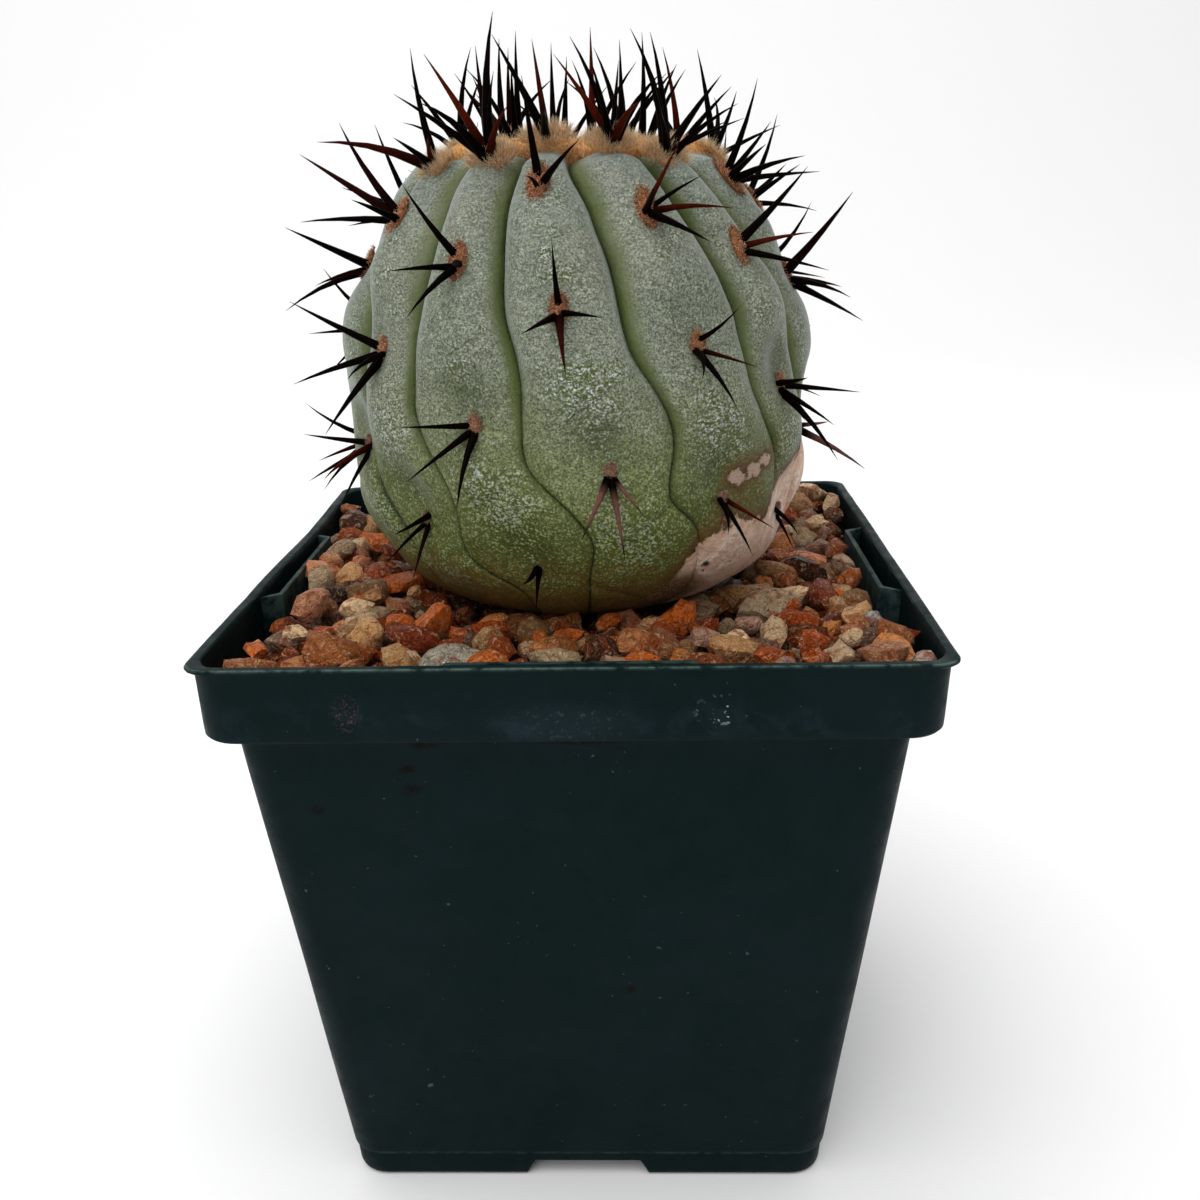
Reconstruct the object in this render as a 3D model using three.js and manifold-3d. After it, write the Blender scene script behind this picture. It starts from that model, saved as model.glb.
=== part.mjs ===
// Potted round cactus: a ribbed globe cactus with long dark spines, top-dressed with
// gravel, in a square nursery pot. Millimetres, +Z up. The origin is the middle of the
// pot's underside and the front of the pot faces -Y.
// Angles round the plant are in degrees, 0 at the front and growing towards +X.
import * as THREE from 'three';
import { mergeVertices } from 'three/addons/utils/BufferGeometryUtils.js';
import Module from 'manifold-3d';

const wasm = await Module();
wasm.setup();
const { Manifold, Mesh } = wasm;

// Gap kept between pieces that touch
const GAP = 0.35;

// Square nursery pot; a "half" is half the width between two opposite faces
const POT = {
  height: 104.7,
  lipHalf: 57,
  lipHeight: 0.8,
  lipRadius: 3.8,
  bandTopHalf: 56.4,
  bandFootHalf: 56,
  bandBottom: 92.4,
  bandRadius: 5.8,
  bodyTopHalf: 52.3,
  bodyFootHalf: 42.9,
  footHalf: 42.3,
  bodyRadius: 5.6,
  seamHeight: 4.6,
  seamDepth: 0.35,
  wall: 1.2,
  floorBottom: 2.4,
  floorThickness: 1.4,
};
// Bevel of the pot's small edges, its foot's chamfer, and the height of a step in a wall
const EDGE = 0.3;
const FOOT_CHAMFER = 0.8;
const STEP = 0.1;
// Width of the foot ring, and the round of its inner corners, which leaves a pad in each
const FOOT_RING = 2.4;
const FOOT_PAD_RADIUS = 20;
const NOTCH = { topWidth: 19, bottomWidth: 23, height: 3 };
const DRAIN = { sideRadius: 3.5, sideOffset: 30, cornerRadius: 3.5, cornerOffset: 21, middleRadius: 4.5 };
// Label slots inside the rim; a strip's bent ends are sunk into the wall
const TAB = { halfLength: 18, returnRun: 2.2, inset: 3.2, thickness: 0.9, drop: 1, sunk: 0.6 };

// Potting mix, level with the ledge under the pot's band, and the gravel over it. Stones lie
// on a grid, moved a little by chance, and a collar of them closes round the plant.
const SOIL_TOP = POT.bandBottom + POT.wall;
const GRAVEL = {
  bottom: SOIL_TOP + GAP,
  bedTop: 97.6,
  stoneCentre: 98.6,
  unevenness: 1.2,
  mound: { rise: 1.6, from: 24, over: 26 },
  collar: { radius: 26.5, stones: 19, unevenness: 1.5, reach: 4 },
  pitch: 10,
  stray: 2.2,
  seed: 41,
};
const STONE = {
  radius: [4.8, 6.2],
  corner: [0.8, 1.14],
  width: [0.72, 0.97],
  flatness: 0.66,
  tilt: 0.25,
};
// Room left for the plant's foot, at heights up from its lowest part
const FOOT_ROOM = { grow: 1.1, drop: 0.6, sides: 48, heights: [98.4, 99.2, 100.4, 102, 104, 107, 111] };

// The plant's outline: two superellipse quarters that meet at the belt
const PLANT = {
  radius: 40.6,
  belt: 134.8,
  crownRise: 47.9,
  crownFullness: 2.23,
  baseDrop: 36.8,
  baseFullness: 2.77,
};
// Widest ring of the crown's hollow, which the wool fills, and how the hollow falls to the middle
const HOLLOW = { radius: 25, rings: [[20, 1.0], [13, 0.6], [6, -0.6]], middle: -1.2 };
// Root below the body, as [height, radius], ending in a tip
const ROOT = { rings: [[101, 11], [94, 9], [86, 7], [74, 4.6]], tip: 65, sides: 14 };
// Facets of the skin, and the height where it ends over the root
const SKIN = { ribSamples: 6, rows: 16, foot: 99.4 };

// Rib crests: degrees at four levels, from the crown down. The seven ribs of the front are
// listed from left to right, and the rest share the back evenly.
const RIB_COUNT = 13;
const LEVELS = { top: 176, step: 22 };
const FRONT_RIBS = [
  [-82, -78, -63, -52],
  [-59, -54, -46, -34],
  [-29, -27, -20, -9],
  [-9, -2, 8, 16],
  [19, 29, 35, 43],
  [39, 55, 62, 70],
  [64, 81, 85, 92],
];
// Groove depths at even steps down from the crown, how far they sway in degrees over a
// length, and the power of their profile, which narrows them towards the foot
const GROOVE = { top: 178, step: 18, depths: [3.2, 4.6, 3.4, 2.2, 1.4], sway: 1.3, swayLength: 8 };
const NARROWING = { broad: 2, narrow: 3.6, from: 165, over: 40 };
// How far a crest sinks at an areole and swells below it
const HUMP = { notch: 1.1, reach: 5, swell: 0.7, swellReach: 6.5, below: 9 };

// Areoles of the front ribs from the top down, as { height, spines }. A spine is
// [turn, lean, length]: turn is clockwise from straight up the rib, and lean is away from
// the skin's own normal.
const FRONT_AREOLES = [
  [
    { height: 158, spines: [[80, 35, 17], [125, 50, 11], [170, 45, 15]] },
    { height: 130, spines: [[-85, 50, 13], [-130, 45, 13], [105, 40, 14], [150, 50, 11]] },
  ],
  [
    { height: 174, spines: [[-25, 40, 17], [-150, 40, 17], [120, 45, 12], [95, 60, 11]] },
    { height: 166, spines: [[-45, 45, 17], [110, 40, 14], [-130, 45, 15], [-80, 35, 18]] },
    { height: 146, spines: [[-60, 45, 16], [-125, 45, 15], [115, 40, 13], [170, 50, 16]] },
    { height: 120, spines: [[60, 25, 12], [-145, 35, 9], [160, 40, 10]] },
  ],
  [
    {
      height: 175,
      spines: [
        [-60, 25, 16], [-175, 25, 16], [-120, 30, 16], [110, 45, 15],
        [5, 40, 19], [-15, 45, 15], [80, 25, 14],
      ],
    },
    { height: 160, spines: [[-30, 35, 13], [-155, 25, 13], [180, 50, 14], [120, 40, 12]] },
    { height: 136, spines: [[-85, 45, 11], [-135, 45, 13], [175, 50, 13]] },
    { height: 112, spines: [[40, 15, 10], [5, 35, 11]] },
  ],
  [
    { height: 178, spines: [[-15, 50, 14], [-60, 30, 15], [165, 50, 15]] },
    { height: 171, spines: [[-10, 40, 14], [110, 35, 14], [180, 30, 7]] },
    { height: 153, spines: [[0, 35, 12], [-140, 25, 13], [110, 35, 12], [170, 45, 14]] },
    { height: 129, spines: [[-140, 40, 13], [175, 55, 13], [140, 40, 9]] },
  ],
  [
    {
      height: 177,
      spines: [
        [-115, 25, 15], [155, 25, 15], [-25, 50, 15],
        [-60, 45, 14], [15, 50, 11], [-175, 40, 15],
      ],
    },
    { height: 167, spines: [[35, 40, 10], [85, 40, 9], [130, 45, 14], [165, 50, 15], [-135, 25, 13]] },
    { height: 147, spines: [[20, 25, 10], [130, 30, 10], [-175, 40, 13], [-125, 35, 12]] },
    { height: 123, spines: [[125, 40, 9], [175, 40, 10], [-105, 35, 11]] },
  ],
  [
    {
      height: 175,
      spines: [
        [-110, 45, 14], [165, 25, 14], [60, 50, 14], [90, 65, 13],
        [-15, 40, 16], [-45, 40, 18], [-80, 35, 14],
      ],
    },
    { height: 161, spines: [[50, 45, 15], [105, 40, 11], [155, 40, 14]] },
    { height: 139, spines: [[-75, 45, 12], [105, 35, 13], [-135, 30, 13], [-170, 45, 15]] },
    { height: 117, spines: [[-100, 40, 8], [170, 45, 7]] },
  ],
  [
    { height: 171, spines: [[25, 35, 15], [-105, 45, 14], [140, 45, 14], [-140, 35, 15], [70, 50, 13]] },
    { height: 155, spines: [[-40, 40, 18], [120, 50, 12], [-125, 45, 13], [-165, 45, 14]] },
    { height: 129, spines: [[-120, 40, 15], [95, 55, 11]] },
  ],
];

// Areoles of the back ribs by turns, with how far chance moves them, and the spines that an
// areole above a height carries there, also varied by chance as [turn, lean, length]
const BACK_HEIGHTS = [[176, 165, 147, 126], [177, 167, 154, 136, 118]];
const BACK_STRAY = 2;
const BACK_FANS = [
  { above: 172.5, spines: [[5, 48, 16], [-62, 50, 13], [66, 50, 13], [178, 28, 12]] },
  { above: 160, spines: [[-5, 40, 15], [-85, 48, 13], [80, 45, 13], [175, 42, 13]] },
  { above: 124, spines: [[3, 36, 12], [-112, 46, 11], [108, 44, 11], [178, 44, 12]] },
  { above: 0, spines: [[178, 40, 10], [-110, 38, 11], [115, 36, 11]] },
];
const FAN_STRAY = [14, 6, 1.5];
// Youngest areoles, in the heart of the wool
const HEART = { areoles: 6, radius: 13, splay: 0.25, spines: [[0, 14, 15], [115, 26, 12], [-120, 24, 12]] };
// A spine: its root below the surface, thickness and bow as shares of its length, and the
// shares of length and thickness at the ring where a longer one bends
const SPINE = {
  root: 1.6,
  thickness: 0.045,
  thinnest: 0.45,
  bow: 0.035,
  bendFrom: 12,
  bendAt: 0.55,
  bendThickness: 0.62,
  lift: 0.2,
  woolLift: 0.6,
};
// Felt pad of an areole; spread is the share of it that its spines take
const PAD = { width: 1.7, height: 2.4, proud: 1.1, sunk: 0.8, spread: 0.45 };

// Wool of the crown, as [share of its radius, height over the hollow's rim], with a lobe and
// a tuft on each rib. Areoles higher than lowestAreole stand in it.
const WOOL = {
  lowestAreole: 172.5,
  bottomDrop: 8,
  edgeRadius: 24,
  lobe: 2.6,
  tuft: 0.8,
  samples: 4,
  profile: [[1, 0.6], [0.91, 2.4], [0.74, 3.9], [0.5, 4.3], [0.26, 3.7]],
  middle: 3.2,
};

const radians = THREE.MathUtils.degToRad;

// Shared mesh helpers

// A closed body from rings of points, each counter-clockwise seen from the last ring's side
function stack(rings, firstPole, lastPole) {
  const count = rings[0].length;
  const points = [...rings.flat(), firstPole, lastPole];
  const first = points.length - 2;
  const last = points.length - 1;
  const faces = [];
  for (let i = 0; i < count; i++) {
    const j = (i + 1) % count;
    faces.push(first, j, i);
    for (let k = 0; k + 1 < rings.length; k++) {
      const a = k * count;
      const b = a + count;
      faces.push(a + i, a + j, b + j, a + i, b + j, b + i);
    }
    const top = (rings.length - 1) * count;
    faces.push(top + i, top + j, last);
  }
  const geometry = new THREE.BufferGeometry();
  const values = points.flatMap((point) => point.toArray());
  geometry.setAttribute('position', new THREE.Float32BufferAttribute(values, 3));
  geometry.setIndex(faces);
  return geometry;
}

function solid(geometry) {
  const bare = geometry.clone();
  bare.deleteAttribute('normal');
  bare.deleteAttribute('uv');
  const merged = mergeVertices(bare, 1e-5);
  return new Manifold(new Mesh({
    numProp: 3,
    vertProperties: new Float32Array(merged.attributes.position.array),
    triVerts: new Uint32Array(merged.index.array),
  }));
}

function geometryOf(manifold) {
  const mesh = manifold.getMesh();
  const geometry = new THREE.BufferGeometry();
  geometry.setAttribute('position', new THREE.Float32BufferAttribute(mesh.vertProperties, 3));
  geometry.setIndex(Array.from(mesh.triVerts));
  geometry.computeVertexNormals();
  return geometry;
}

function joined(manifolds) {
  return Manifold.union(manifolds);
}

// The largest body of a solid, without the crumbs that a cut may leave
function mainBody(manifold) {
  return manifold.decompose().reduce((best, body) => (body.volume() > best.volume() ? body : best));
}

function roundedSquare(half, radius, z, steps = 5) {
  const points = [];
  for (let corner = 0; corner < 4; corner++) {
    for (let k = 0; k <= steps; k++) {
      const angle = radians(corner * 90 + (k / steps) * 90);
      const signX = corner === 0 || corner === 3 ? 1 : -1;
      const signY = corner < 2 ? 1 : -1;
      points.push(new THREE.Vector3(
        signX * (half - radius) + radius * Math.cos(angle),
        signY * (half - radius) + radius * Math.sin(angle),
        z,
      ));
    }
  }
  return points;
}

function squareLoft(levels) {
  const rings = levels.map(([z, half, radius]) => roundedSquare(half, radius, z));
  return solid(stack(
    rings,
    new THREE.Vector3(0, 0, levels[0][0]),
    new THREE.Vector3(0, 0, levels[levels.length - 1][0]),
  ));
}

function ring(radius, z, count) {
  return Array.from({ length: count }, (_, i) => {
    const angle = (i / count) * 2 * Math.PI;
    return new THREE.Vector3(radius * Math.cos(angle), radius * Math.sin(angle), z);
  });
}

function prism(outline, depth) {
  const shape = new THREE.Shape(outline.map(([x, y]) => new THREE.Vector2(x, y)));
  return new THREE.ExtrudeGeometry(shape, { depth, bevelEnabled: false });
}

// Pot

// Half width of the pot's body at a height, between its foot and the band
function bodyHalf(z) {
  const share = (z - POT.seamHeight) / (POT.bandBottom - POT.seamHeight);
  return POT.bodyFootHalf + (POT.bodyTopHalf - POT.bodyFootHalf) * Math.max(0, share);
}

function potOutside() {
  const { height, bandBottom, bandRadius, bodyRadius, seamHeight, seamDepth } = POT;
  const lipFoot = height - POT.lipHeight;
  return squareLoft([
    [0, POT.footHalf - FOOT_CHAMFER, bodyRadius],
    [FOOT_CHAMFER, POT.footHalf, bodyRadius],
    [seamHeight - EDGE, POT.footHalf + EDGE, bodyRadius],
    [seamHeight, POT.bodyFootHalf - seamDepth, bodyRadius],
    [seamHeight + EDGE, bodyHalf(seamHeight + EDGE), bodyRadius],
    [bandBottom - STEP, bodyHalf(bandBottom - STEP), bodyRadius],
    [bandBottom, POT.bandFootHalf - 2 * EDGE, bandRadius],
    [bandBottom + 2 * EDGE, POT.bandFootHalf, bandRadius],
    [lipFoot, POT.bandTopHalf, bandRadius],
    [lipFoot + STEP, POT.lipHalf, POT.lipRadius],
    [height - STEP, POT.lipHalf, POT.lipRadius],
    [height, POT.lipHalf - EDGE, POT.lipRadius],
  ]);
}

function potInside() {
  const floor = POT.floorBottom + POT.floorThickness;
  const ledge = POT.bandBottom + POT.wall;
  const radius = POT.bodyRadius - POT.wall;
  return squareLoft([
    [floor, bodyHalf(floor) - POT.wall, radius],
    [ledge, bodyHalf(ledge) - POT.wall, radius],
    [ledge + STEP / 5, POT.bandFootHalf - POT.wall, radius],
    [POT.height + 1, POT.bandTopHalf - POT.wall, radius],
  ]);
}

// Hollow under the floor, which leaves a foot ring with a pad in each corner
function footRecess() {
  const half = POT.footHalf - FOOT_RING;
  return squareLoft([[-1, half, FOOT_PAD_RADIUS], [POT.floorBottom, half, FOOT_PAD_RADIUS]]);
}

function footNotches() {
  const { topWidth, bottomWidth, height } = NOTCH;
  const outline = [
    [-bottomWidth / 2, -1], [bottomWidth / 2, -1],
    [topWidth / 2, height], [-topWidth / 2, height],
  ];
  const geometry = prism(outline, FOOT_RING + 2);
  geometry.rotateX(Math.PI / 2);
  geometry.translate(0, FOOT_RING + 1 - POT.footHalf, 0);
  return fourSides(geometry);
}

function drainHoles() {
  const across = DRAIN.cornerOffset;
  const places = [[0, 0, DRAIN.middleRadius]];
  for (const [x, y] of [[1, 0], [0, 1], [-1, 0], [0, -1]]) {
    places.push([x * DRAIN.sideOffset, y * DRAIN.sideOffset, DRAIN.sideRadius]);
  }
  for (const [x, y] of [[1, 1], [-1, 1], [-1, -1], [1, -1]]) {
    places.push([x * across, y * across, DRAIN.cornerRadius]);
  }
  return joined(places.map(([x, y, radius]) => {
    const hole = new THREE.CylinderGeometry(radius, radius, 8, 12);
    hole.rotateX(Math.PI / 2);
    hole.translate(x, y, POT.floorBottom);
    return solid(hole);
  }));
}

// Copies of one side's shape on all four sides of the pot
function fourSides(geometry) {
  return joined([0, 90, 180, 270].map((turn) => solid(geometry.clone().rotateZ(radians(turn)))));
}

// Strip inside the rim that holds a plant label, seen from above, with its ends bent to the wall
function tabOutline(grow) {
  const face = POT.bandFootHalf - POT.wall;
  const wall = face + TAB.sunk;
  const far = face - TAB.inset + TAB.thickness / 2;
  const run = TAB.halfLength + TAB.returnRun;
  const half = TAB.thickness / 2 + grow;
  return [
    [-run - half, -wall],
    [-TAB.halfLength - half, -far + half],
    [TAB.halfLength + half, -far + half],
    [run + half, -wall],
  ];
}

function labelTabs() {
  const outer = tabOutline(0);
  const inner = tabOutline(-TAB.thickness);
  const outline = [...outer, ...inner.reverse()];
  const bottom = POT.bandBottom + POT.wall - EDGE;
  const geometry = prism(outline, POT.height - TAB.drop - bottom);
  geometry.translate(0, 0, bottom);
  return fourSides(geometry);
}

function potSolid() {
  const shell = potOutside().subtract(potInside());
  return shell
    .subtract(joined([footRecess(), footNotches(), drainHoles()]))
    .add(labelTabs());
}

// Plant surface

// Radius and height of the plant's outline at a turn t up from the belt, in radians
function outlineAt(t) {
  const up = t >= 0;
  const power = 2 / (up ? PLANT.crownFullness : PLANT.baseFullness);
  const rise = up ? PLANT.crownRise : -PLANT.baseDrop;
  return {
    radius: PLANT.radius * Math.cos(t) ** power,
    height: PLANT.belt + rise * Math.abs(Math.sin(t)) ** power,
  };
}

// Turn on the outline at a height
function turnAt(height) {
  const up = height >= PLANT.belt;
  const share = (height - PLANT.belt) / (up ? PLANT.crownRise : -PLANT.baseDrop);
  const fullness = up ? PLANT.crownFullness : PLANT.baseFullness;
  const turn = Math.asin(Math.min(1, share) ** (fullness / 2));
  return up ? turn : -turn;
}

// Height on the outline over a radius near the crown
function crownHeight(radius) {
  const share = (radius / PLANT.radius) ** PLANT.crownFullness;
  return PLANT.belt + PLANT.crownRise * (1 - share) ** (1 / PLANT.crownFullness);
}

// Height of the rim round the crown's hollow
const BRIM = crownHeight(HOLLOW.radius);

// Smooth curve through evenly spaced values, level 0 being the first of them
function smoothValue(values, level) {
  const x = Math.min(Math.max(level, 0), values.length - 1);
  const k = Math.min(Math.floor(x), values.length - 2);
  const at = (i) => values[Math.min(Math.max(i, 0), values.length - 1)];
  const [a, b, c, d] = [at(k - 1), at(k), at(k + 1), at(k + 2)];
  const f = x - k;
  return b + 0.5 * f * (c - a + f * (2 * a - 5 * b + 4 * c - d + f * (3 * (b - c) + d - a)));
}

// Degrees of a rib's crest at a height; the back ribs share what the front ones leave
function crestAngle(rib, height) {
  const level = (LEVELS.top - height) / LEVELS.step;
  const round = Math.floor(rib / RIB_COUNT);
  const index = rib - round * RIB_COUNT;
  const last = FRONT_RIBS.length - 1;
  if (index <= last) return smoothValue(FRONT_RIBS[index], level) + 360 * round;
  const from = smoothValue(FRONT_RIBS[last], level);
  const to = smoothValue(FRONT_RIBS[0], level) + 360;
  return from + ((to - from) * (index - last)) / (RIB_COUNT - last) + 360 * round;
}

// Heights of a rib's areoles
function areoleHeights(rib) {
  if (rib < FRONT_RIBS.length) return FRONT_AREOLES[rib].map((areole) => areole.height);
  const pattern = BACK_HEIGHTS[rib % 2];
  return pattern.map((height, row) => height + BACK_STRAY * chance(rib * 10 + row));
}

// A fixed value between -1 and 1 for each whole number, in place of a random draw
function chance(n) {
  const wave = Math.sin(n * 12.9898 + 4.1) * 43758.5453;
  return 2 * (wave - Math.floor(wave)) - 1;
}

// How far the crest sinks at its areoles and swells below them
function humpAt(rib, height) {
  let sum = 0;
  for (const areole of areoleHeights(((rib % RIB_COUNT) + RIB_COUNT) % RIB_COUNT)) {
    sum -= HUMP.notch * Math.exp(-(((height - areole) / HUMP.reach) ** 2));
    sum += HUMP.swell * Math.exp(-(((height - areole + HUMP.below) / HUMP.swellReach) ** 2));
  }
  return sum;
}

function grooveDepth(height) {
  return smoothValue(GROOVE.depths, (GROOVE.top - height) / GROOVE.step);
}

// Direction of a place between crests, in radians; the grooves sway from side to side
function ribAngle(ribs, height) {
  const before = Math.floor(ribs);
  const share = ribs - before;
  const from = crestAngle(before, height);
  const to = crestAngle(before + 1, height);
  const wave = Math.sin(height / GROOVE.swayLength + 2.1 * before);
  const sway = GROOVE.sway * Math.sin(Math.PI * share) * wave;
  return radians(from + (to - from) * share + sway);
}

// Point of the skin: a whole number of ribs is a crest and a half is the groove beside it
function skinPoint(ribs, radius, height) {
  const nearest = Math.round(ribs);
  const off = 2 * Math.abs(ribs - nearest);
  const angle = ribAngle(ribs, height);
  const { broad, narrow, from, over } = NARROWING;
  const sharpness = broad + (narrow - broad) * Math.min(Math.max((from - height) / over, 0), 1);
  const nearCrown = Math.min(1, radius / HOLLOW.radius);
  const sink = grooveDepth(height) * nearCrown * off ** sharpness;
  const swell = humpAt(nearest, height) * (1 - off ** 2) * nearCrown;
  const reach = radius - sink + swell;
  return new THREE.Vector3(reach * Math.sin(angle), -reach * Math.cos(angle), height);
}

function skinRing(radius, height) {
  const count = RIB_COUNT * SKIN.ribSamples;
  return Array.from({ length: count }, (_, i) => skinPoint(i / SKIN.ribSamples, radius, height));
}

// The ribbed skin, or a copy of it grown by a clearance
function skinSolid(grow = 0) {
  const rings = [];
  const lowest = turnAt(SKIN.foot);
  const highest = turnAt(BRIM);
  for (let row = 0; row <= SKIN.rows; row++) {
    const { radius, height } = outlineAt(lowest + ((highest - lowest) * row) / SKIN.rows);
    rings.push(skinRing(radius + grow, height + grow));
  }
  for (const [radius, rise] of HOLLOW.rings) rings.push(skinRing(radius, BRIM + rise + grow));
  const middle = BRIM + HOLLOW.middle + grow;
  return solid(stack(rings, new THREE.Vector3(0, 0, SKIN.foot), new THREE.Vector3(0, 0, middle)));
}

function rootSolid(grow = 0) {
  const rings = [...ROOT.rings].reverse().map(([height, radius]) => ring(radius + grow, height, ROOT.sides));
  const top = ROOT.rings[0][0];
  return solid(stack(rings, new THREE.Vector3(0, 0, ROOT.tip - grow), new THREE.Vector3(0, 0, top)));
}

// Areoles and spines

// Where an areole sits on its crest: point, outward normal, up the rib, and sideways
function areoleFrame(rib, height) {
  const angle = radians(crestAngle(rib, height));
  const { radius } = outlineAt(turnAt(height));
  const step = 0.4;
  const above = outlineAt(turnAt(height + step)).radius;
  const below = outlineAt(turnAt(height - step)).radius;
  const outward = new THREE.Vector3(Math.sin(angle), -Math.cos(angle), 0);
  const side = new THREE.Vector3(Math.cos(angle), Math.sin(angle), 0);
  const up = outward.clone().multiplyScalar(above - below).setZ(2 * step).normalize();
  const normal = new THREE.Vector3().crossVectors(side, up).normalize();
  const reach = radius + humpAt(rib, height);
  const point = outward.clone().multiplyScalar(reach).setZ(height);
  return { point, normal, up, side };
}

// Three-sided needle with a root sunk in, a slight bow and a sharp tip
function spineSolid(frame, [turn, lean, length], start) {
  const { normal, up, side } = frame;
  const across = up.clone().multiplyScalar(Math.cos(radians(turn)))
    .addScaledVector(side, Math.sin(radians(turn)));
  const along = normal.clone().multiplyScalar(Math.cos(radians(lean)))
    .addScaledVector(across, Math.sin(radians(lean)));
  const bow = normal.clone().addScaledVector(along, -normal.dot(along)).normalize();
  const edge = new THREE.Vector3().crossVectors(along, bow);
  const thickness = Math.max(SPINE.thinnest, SPINE.thickness * length);
  const spot = (share, radius) => [90, 210, 330].map((angle) => start.clone()
    .addScaledVector(along, share * length)
    .addScaledVector(bow, SPINE.bow * length * 4 * share * (1 - share) + radius * Math.sin(radians(angle)))
    .addScaledVector(edge, -radius * Math.cos(radians(angle))));
  const rootShare = -SPINE.root / length;
  const root = start.clone().addScaledVector(along, -SPINE.root);
  const tip = start.clone().addScaledVector(along, length);
  const rings = [spot(rootShare, thickness)];
  if (length > SPINE.bendFrom) rings.push(spot(SPINE.bendAt, thickness * SPINE.bendThickness));
  return solid(stack(rings, root, tip));
}

// Felt pad that the spines of an areole stand in
function padSolid({ point, normal, up, side }) {
  const oval = (scale, rise) => Array.from({ length: 6 }, (_, i) => {
    const angle = (i / 6) * 2 * Math.PI;
    return point.clone()
      .addScaledVector(side, scale * PAD.width * Math.cos(angle))
      .addScaledVector(up, scale * PAD.height * Math.sin(angle))
      .addScaledVector(normal, rise);
  });
  const under = point.clone().addScaledVector(normal, -PAD.sunk);
  const over = point.clone().addScaledVector(normal, PAD.proud);
  return solid(stack([oval(0.9, -PAD.sunk), oval(1, 0.2)], under, over));
}

// Places of an areole's spines, spread over its pad towards where each one points
function spineStart(frame, [turn], lift) {
  return frame.point.clone()
    .addScaledVector(frame.up, PAD.spread * PAD.height * Math.cos(radians(turn)))
    .addScaledVector(frame.side, PAD.spread * PAD.width * Math.sin(radians(turn)))
    .addScaledVector(frame.normal, lift);
}

// Spines of a back areole, each moved a little by chance
function backSpines(height, draw) {
  const fan = BACK_FANS.find(({ above }) => height > above).spines;
  return fan.map((spine, k) => (
    spine.map((value, index) => value + FAN_STRAY[index] * chance(draw + 3 * k + index))
  ));
}

function allAreoles() {
  const areoles = [];
  for (let rib = 0; rib < RIB_COUNT; rib++) {
    areoleHeights(rib).forEach((height, row) => {
      const front = FRONT_AREOLES[rib];
      const spines = front ? front[row].spines : backSpines(height, rib * 100 + row * 10);
      areoles.push({ rib, height, spines, inWool: height > WOOL.lowestAreole });
    });
  }
  return areoles;
}

function cactusSolid() {
  const pieces = [skinSolid(), rootSolid()];
  for (const areole of allAreoles().filter(({ inWool }) => !inWool)) {
    const frame = areoleFrame(areole.rib, areole.height);
    pieces.push(padSolid(frame));
    for (const spine of areole.spines) {
      pieces.push(spineSolid(frame, spine, spineStart(frame, spine, SPINE.lift)));
    }
  }
  return mainBody(joined(pieces));
}

// Crown wool

// Top of the wool at a share of its reach, with a lobe and a tuft on each rib
function woolPoint(ribs, share, rise) {
  const lobe = Math.cos(2 * Math.PI * (ribs - Math.round(ribs)));
  const radius = share * (WOOL.edgeRadius + WOOL.lobe * lobe);
  const angle = ribAngle(ribs, LEVELS.top);
  const tuft = WOOL.tuft * lobe * Math.sin(Math.PI * share);
  return new THREE.Vector3(radius * Math.sin(angle), -radius * Math.cos(angle), BRIM + rise + tuft);
}

// A dome that reaches down into the skin, which is then cut away from it
function woolDome() {
  const count = RIB_COUNT * WOOL.samples;
  const rings = WOOL.profile.map(([share, rise]) => (
    Array.from({ length: count }, (_, i) => woolPoint(i / WOOL.samples, share, rise))
  ));
  const bottom = BRIM - WOOL.bottomDrop;
  rings.unshift(rings[0].map((point) => point.clone().setZ(bottom)));
  return solid(stack(rings, new THREE.Vector3(0, 0, bottom), new THREE.Vector3(0, 0, BRIM + WOOL.middle)));
}

// Upright frame for the youngest areoles, in the heart of the wool
function heartFrame(index) {
  const angle = ((index + 0.3) / HEART.areoles) * 2 * Math.PI;
  const outward = new THREE.Vector3(Math.sin(angle), -Math.cos(angle), 0);
  const point = outward.clone().multiplyScalar(HEART.radius).setZ(BRIM + WOOL.middle);
  const normal = outward.clone().multiplyScalar(HEART.splay).setZ(1).normalize();
  const side = new THREE.Vector3(Math.cos(angle), Math.sin(angle), 0);
  return { point, normal, side, up: new THREE.Vector3().crossVectors(normal, side) };
}

function crownWoolSolid() {
  const pieces = [woolDome()];
  for (const areole of allAreoles().filter(({ inWool }) => inWool)) {
    const frame = areoleFrame(areole.rib, areole.height);
    for (const spine of areole.spines) {
      pieces.push(spineSolid(frame, spine, spineStart(frame, spine, SPINE.woolLift)));
    }
  }
  for (let index = 0; index < HEART.areoles; index++) {
    const frame = heartFrame(index);
    for (const spine of HEART.spines) {
      pieces.push(spineSolid(frame, spine, spineStart(frame, spine, SPINE.woolLift)));
    }
  }
  return mainBody(joined(pieces).subtract(skinSolid(GAP + 0.1)));
}

// Soil and gravel

function soilSolid() {
  const bottom = POT.floorBottom + POT.floorThickness + GAP;
  const inset = POT.wall + GAP;
  const radius = POT.bodyRadius - POT.wall;
  return squareLoft([
    [bottom, bodyHalf(bottom) - inset, radius],
    [SOIL_TOP, bodyHalf(SOIL_TOP) - inset, radius],
  ]).subtract(rootSolid(GAP));
}

// Seeded draws for the gravel
function makeRandom(seed) {
  let state = seed;
  return () => {
    state = (state * 1664525 + 1013904223) % 4294967296;
    return state / 4294967296;
  };
}

// A draw between two values
function between([low, high], random) {
  return low + (high - low) * random();
}

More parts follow.
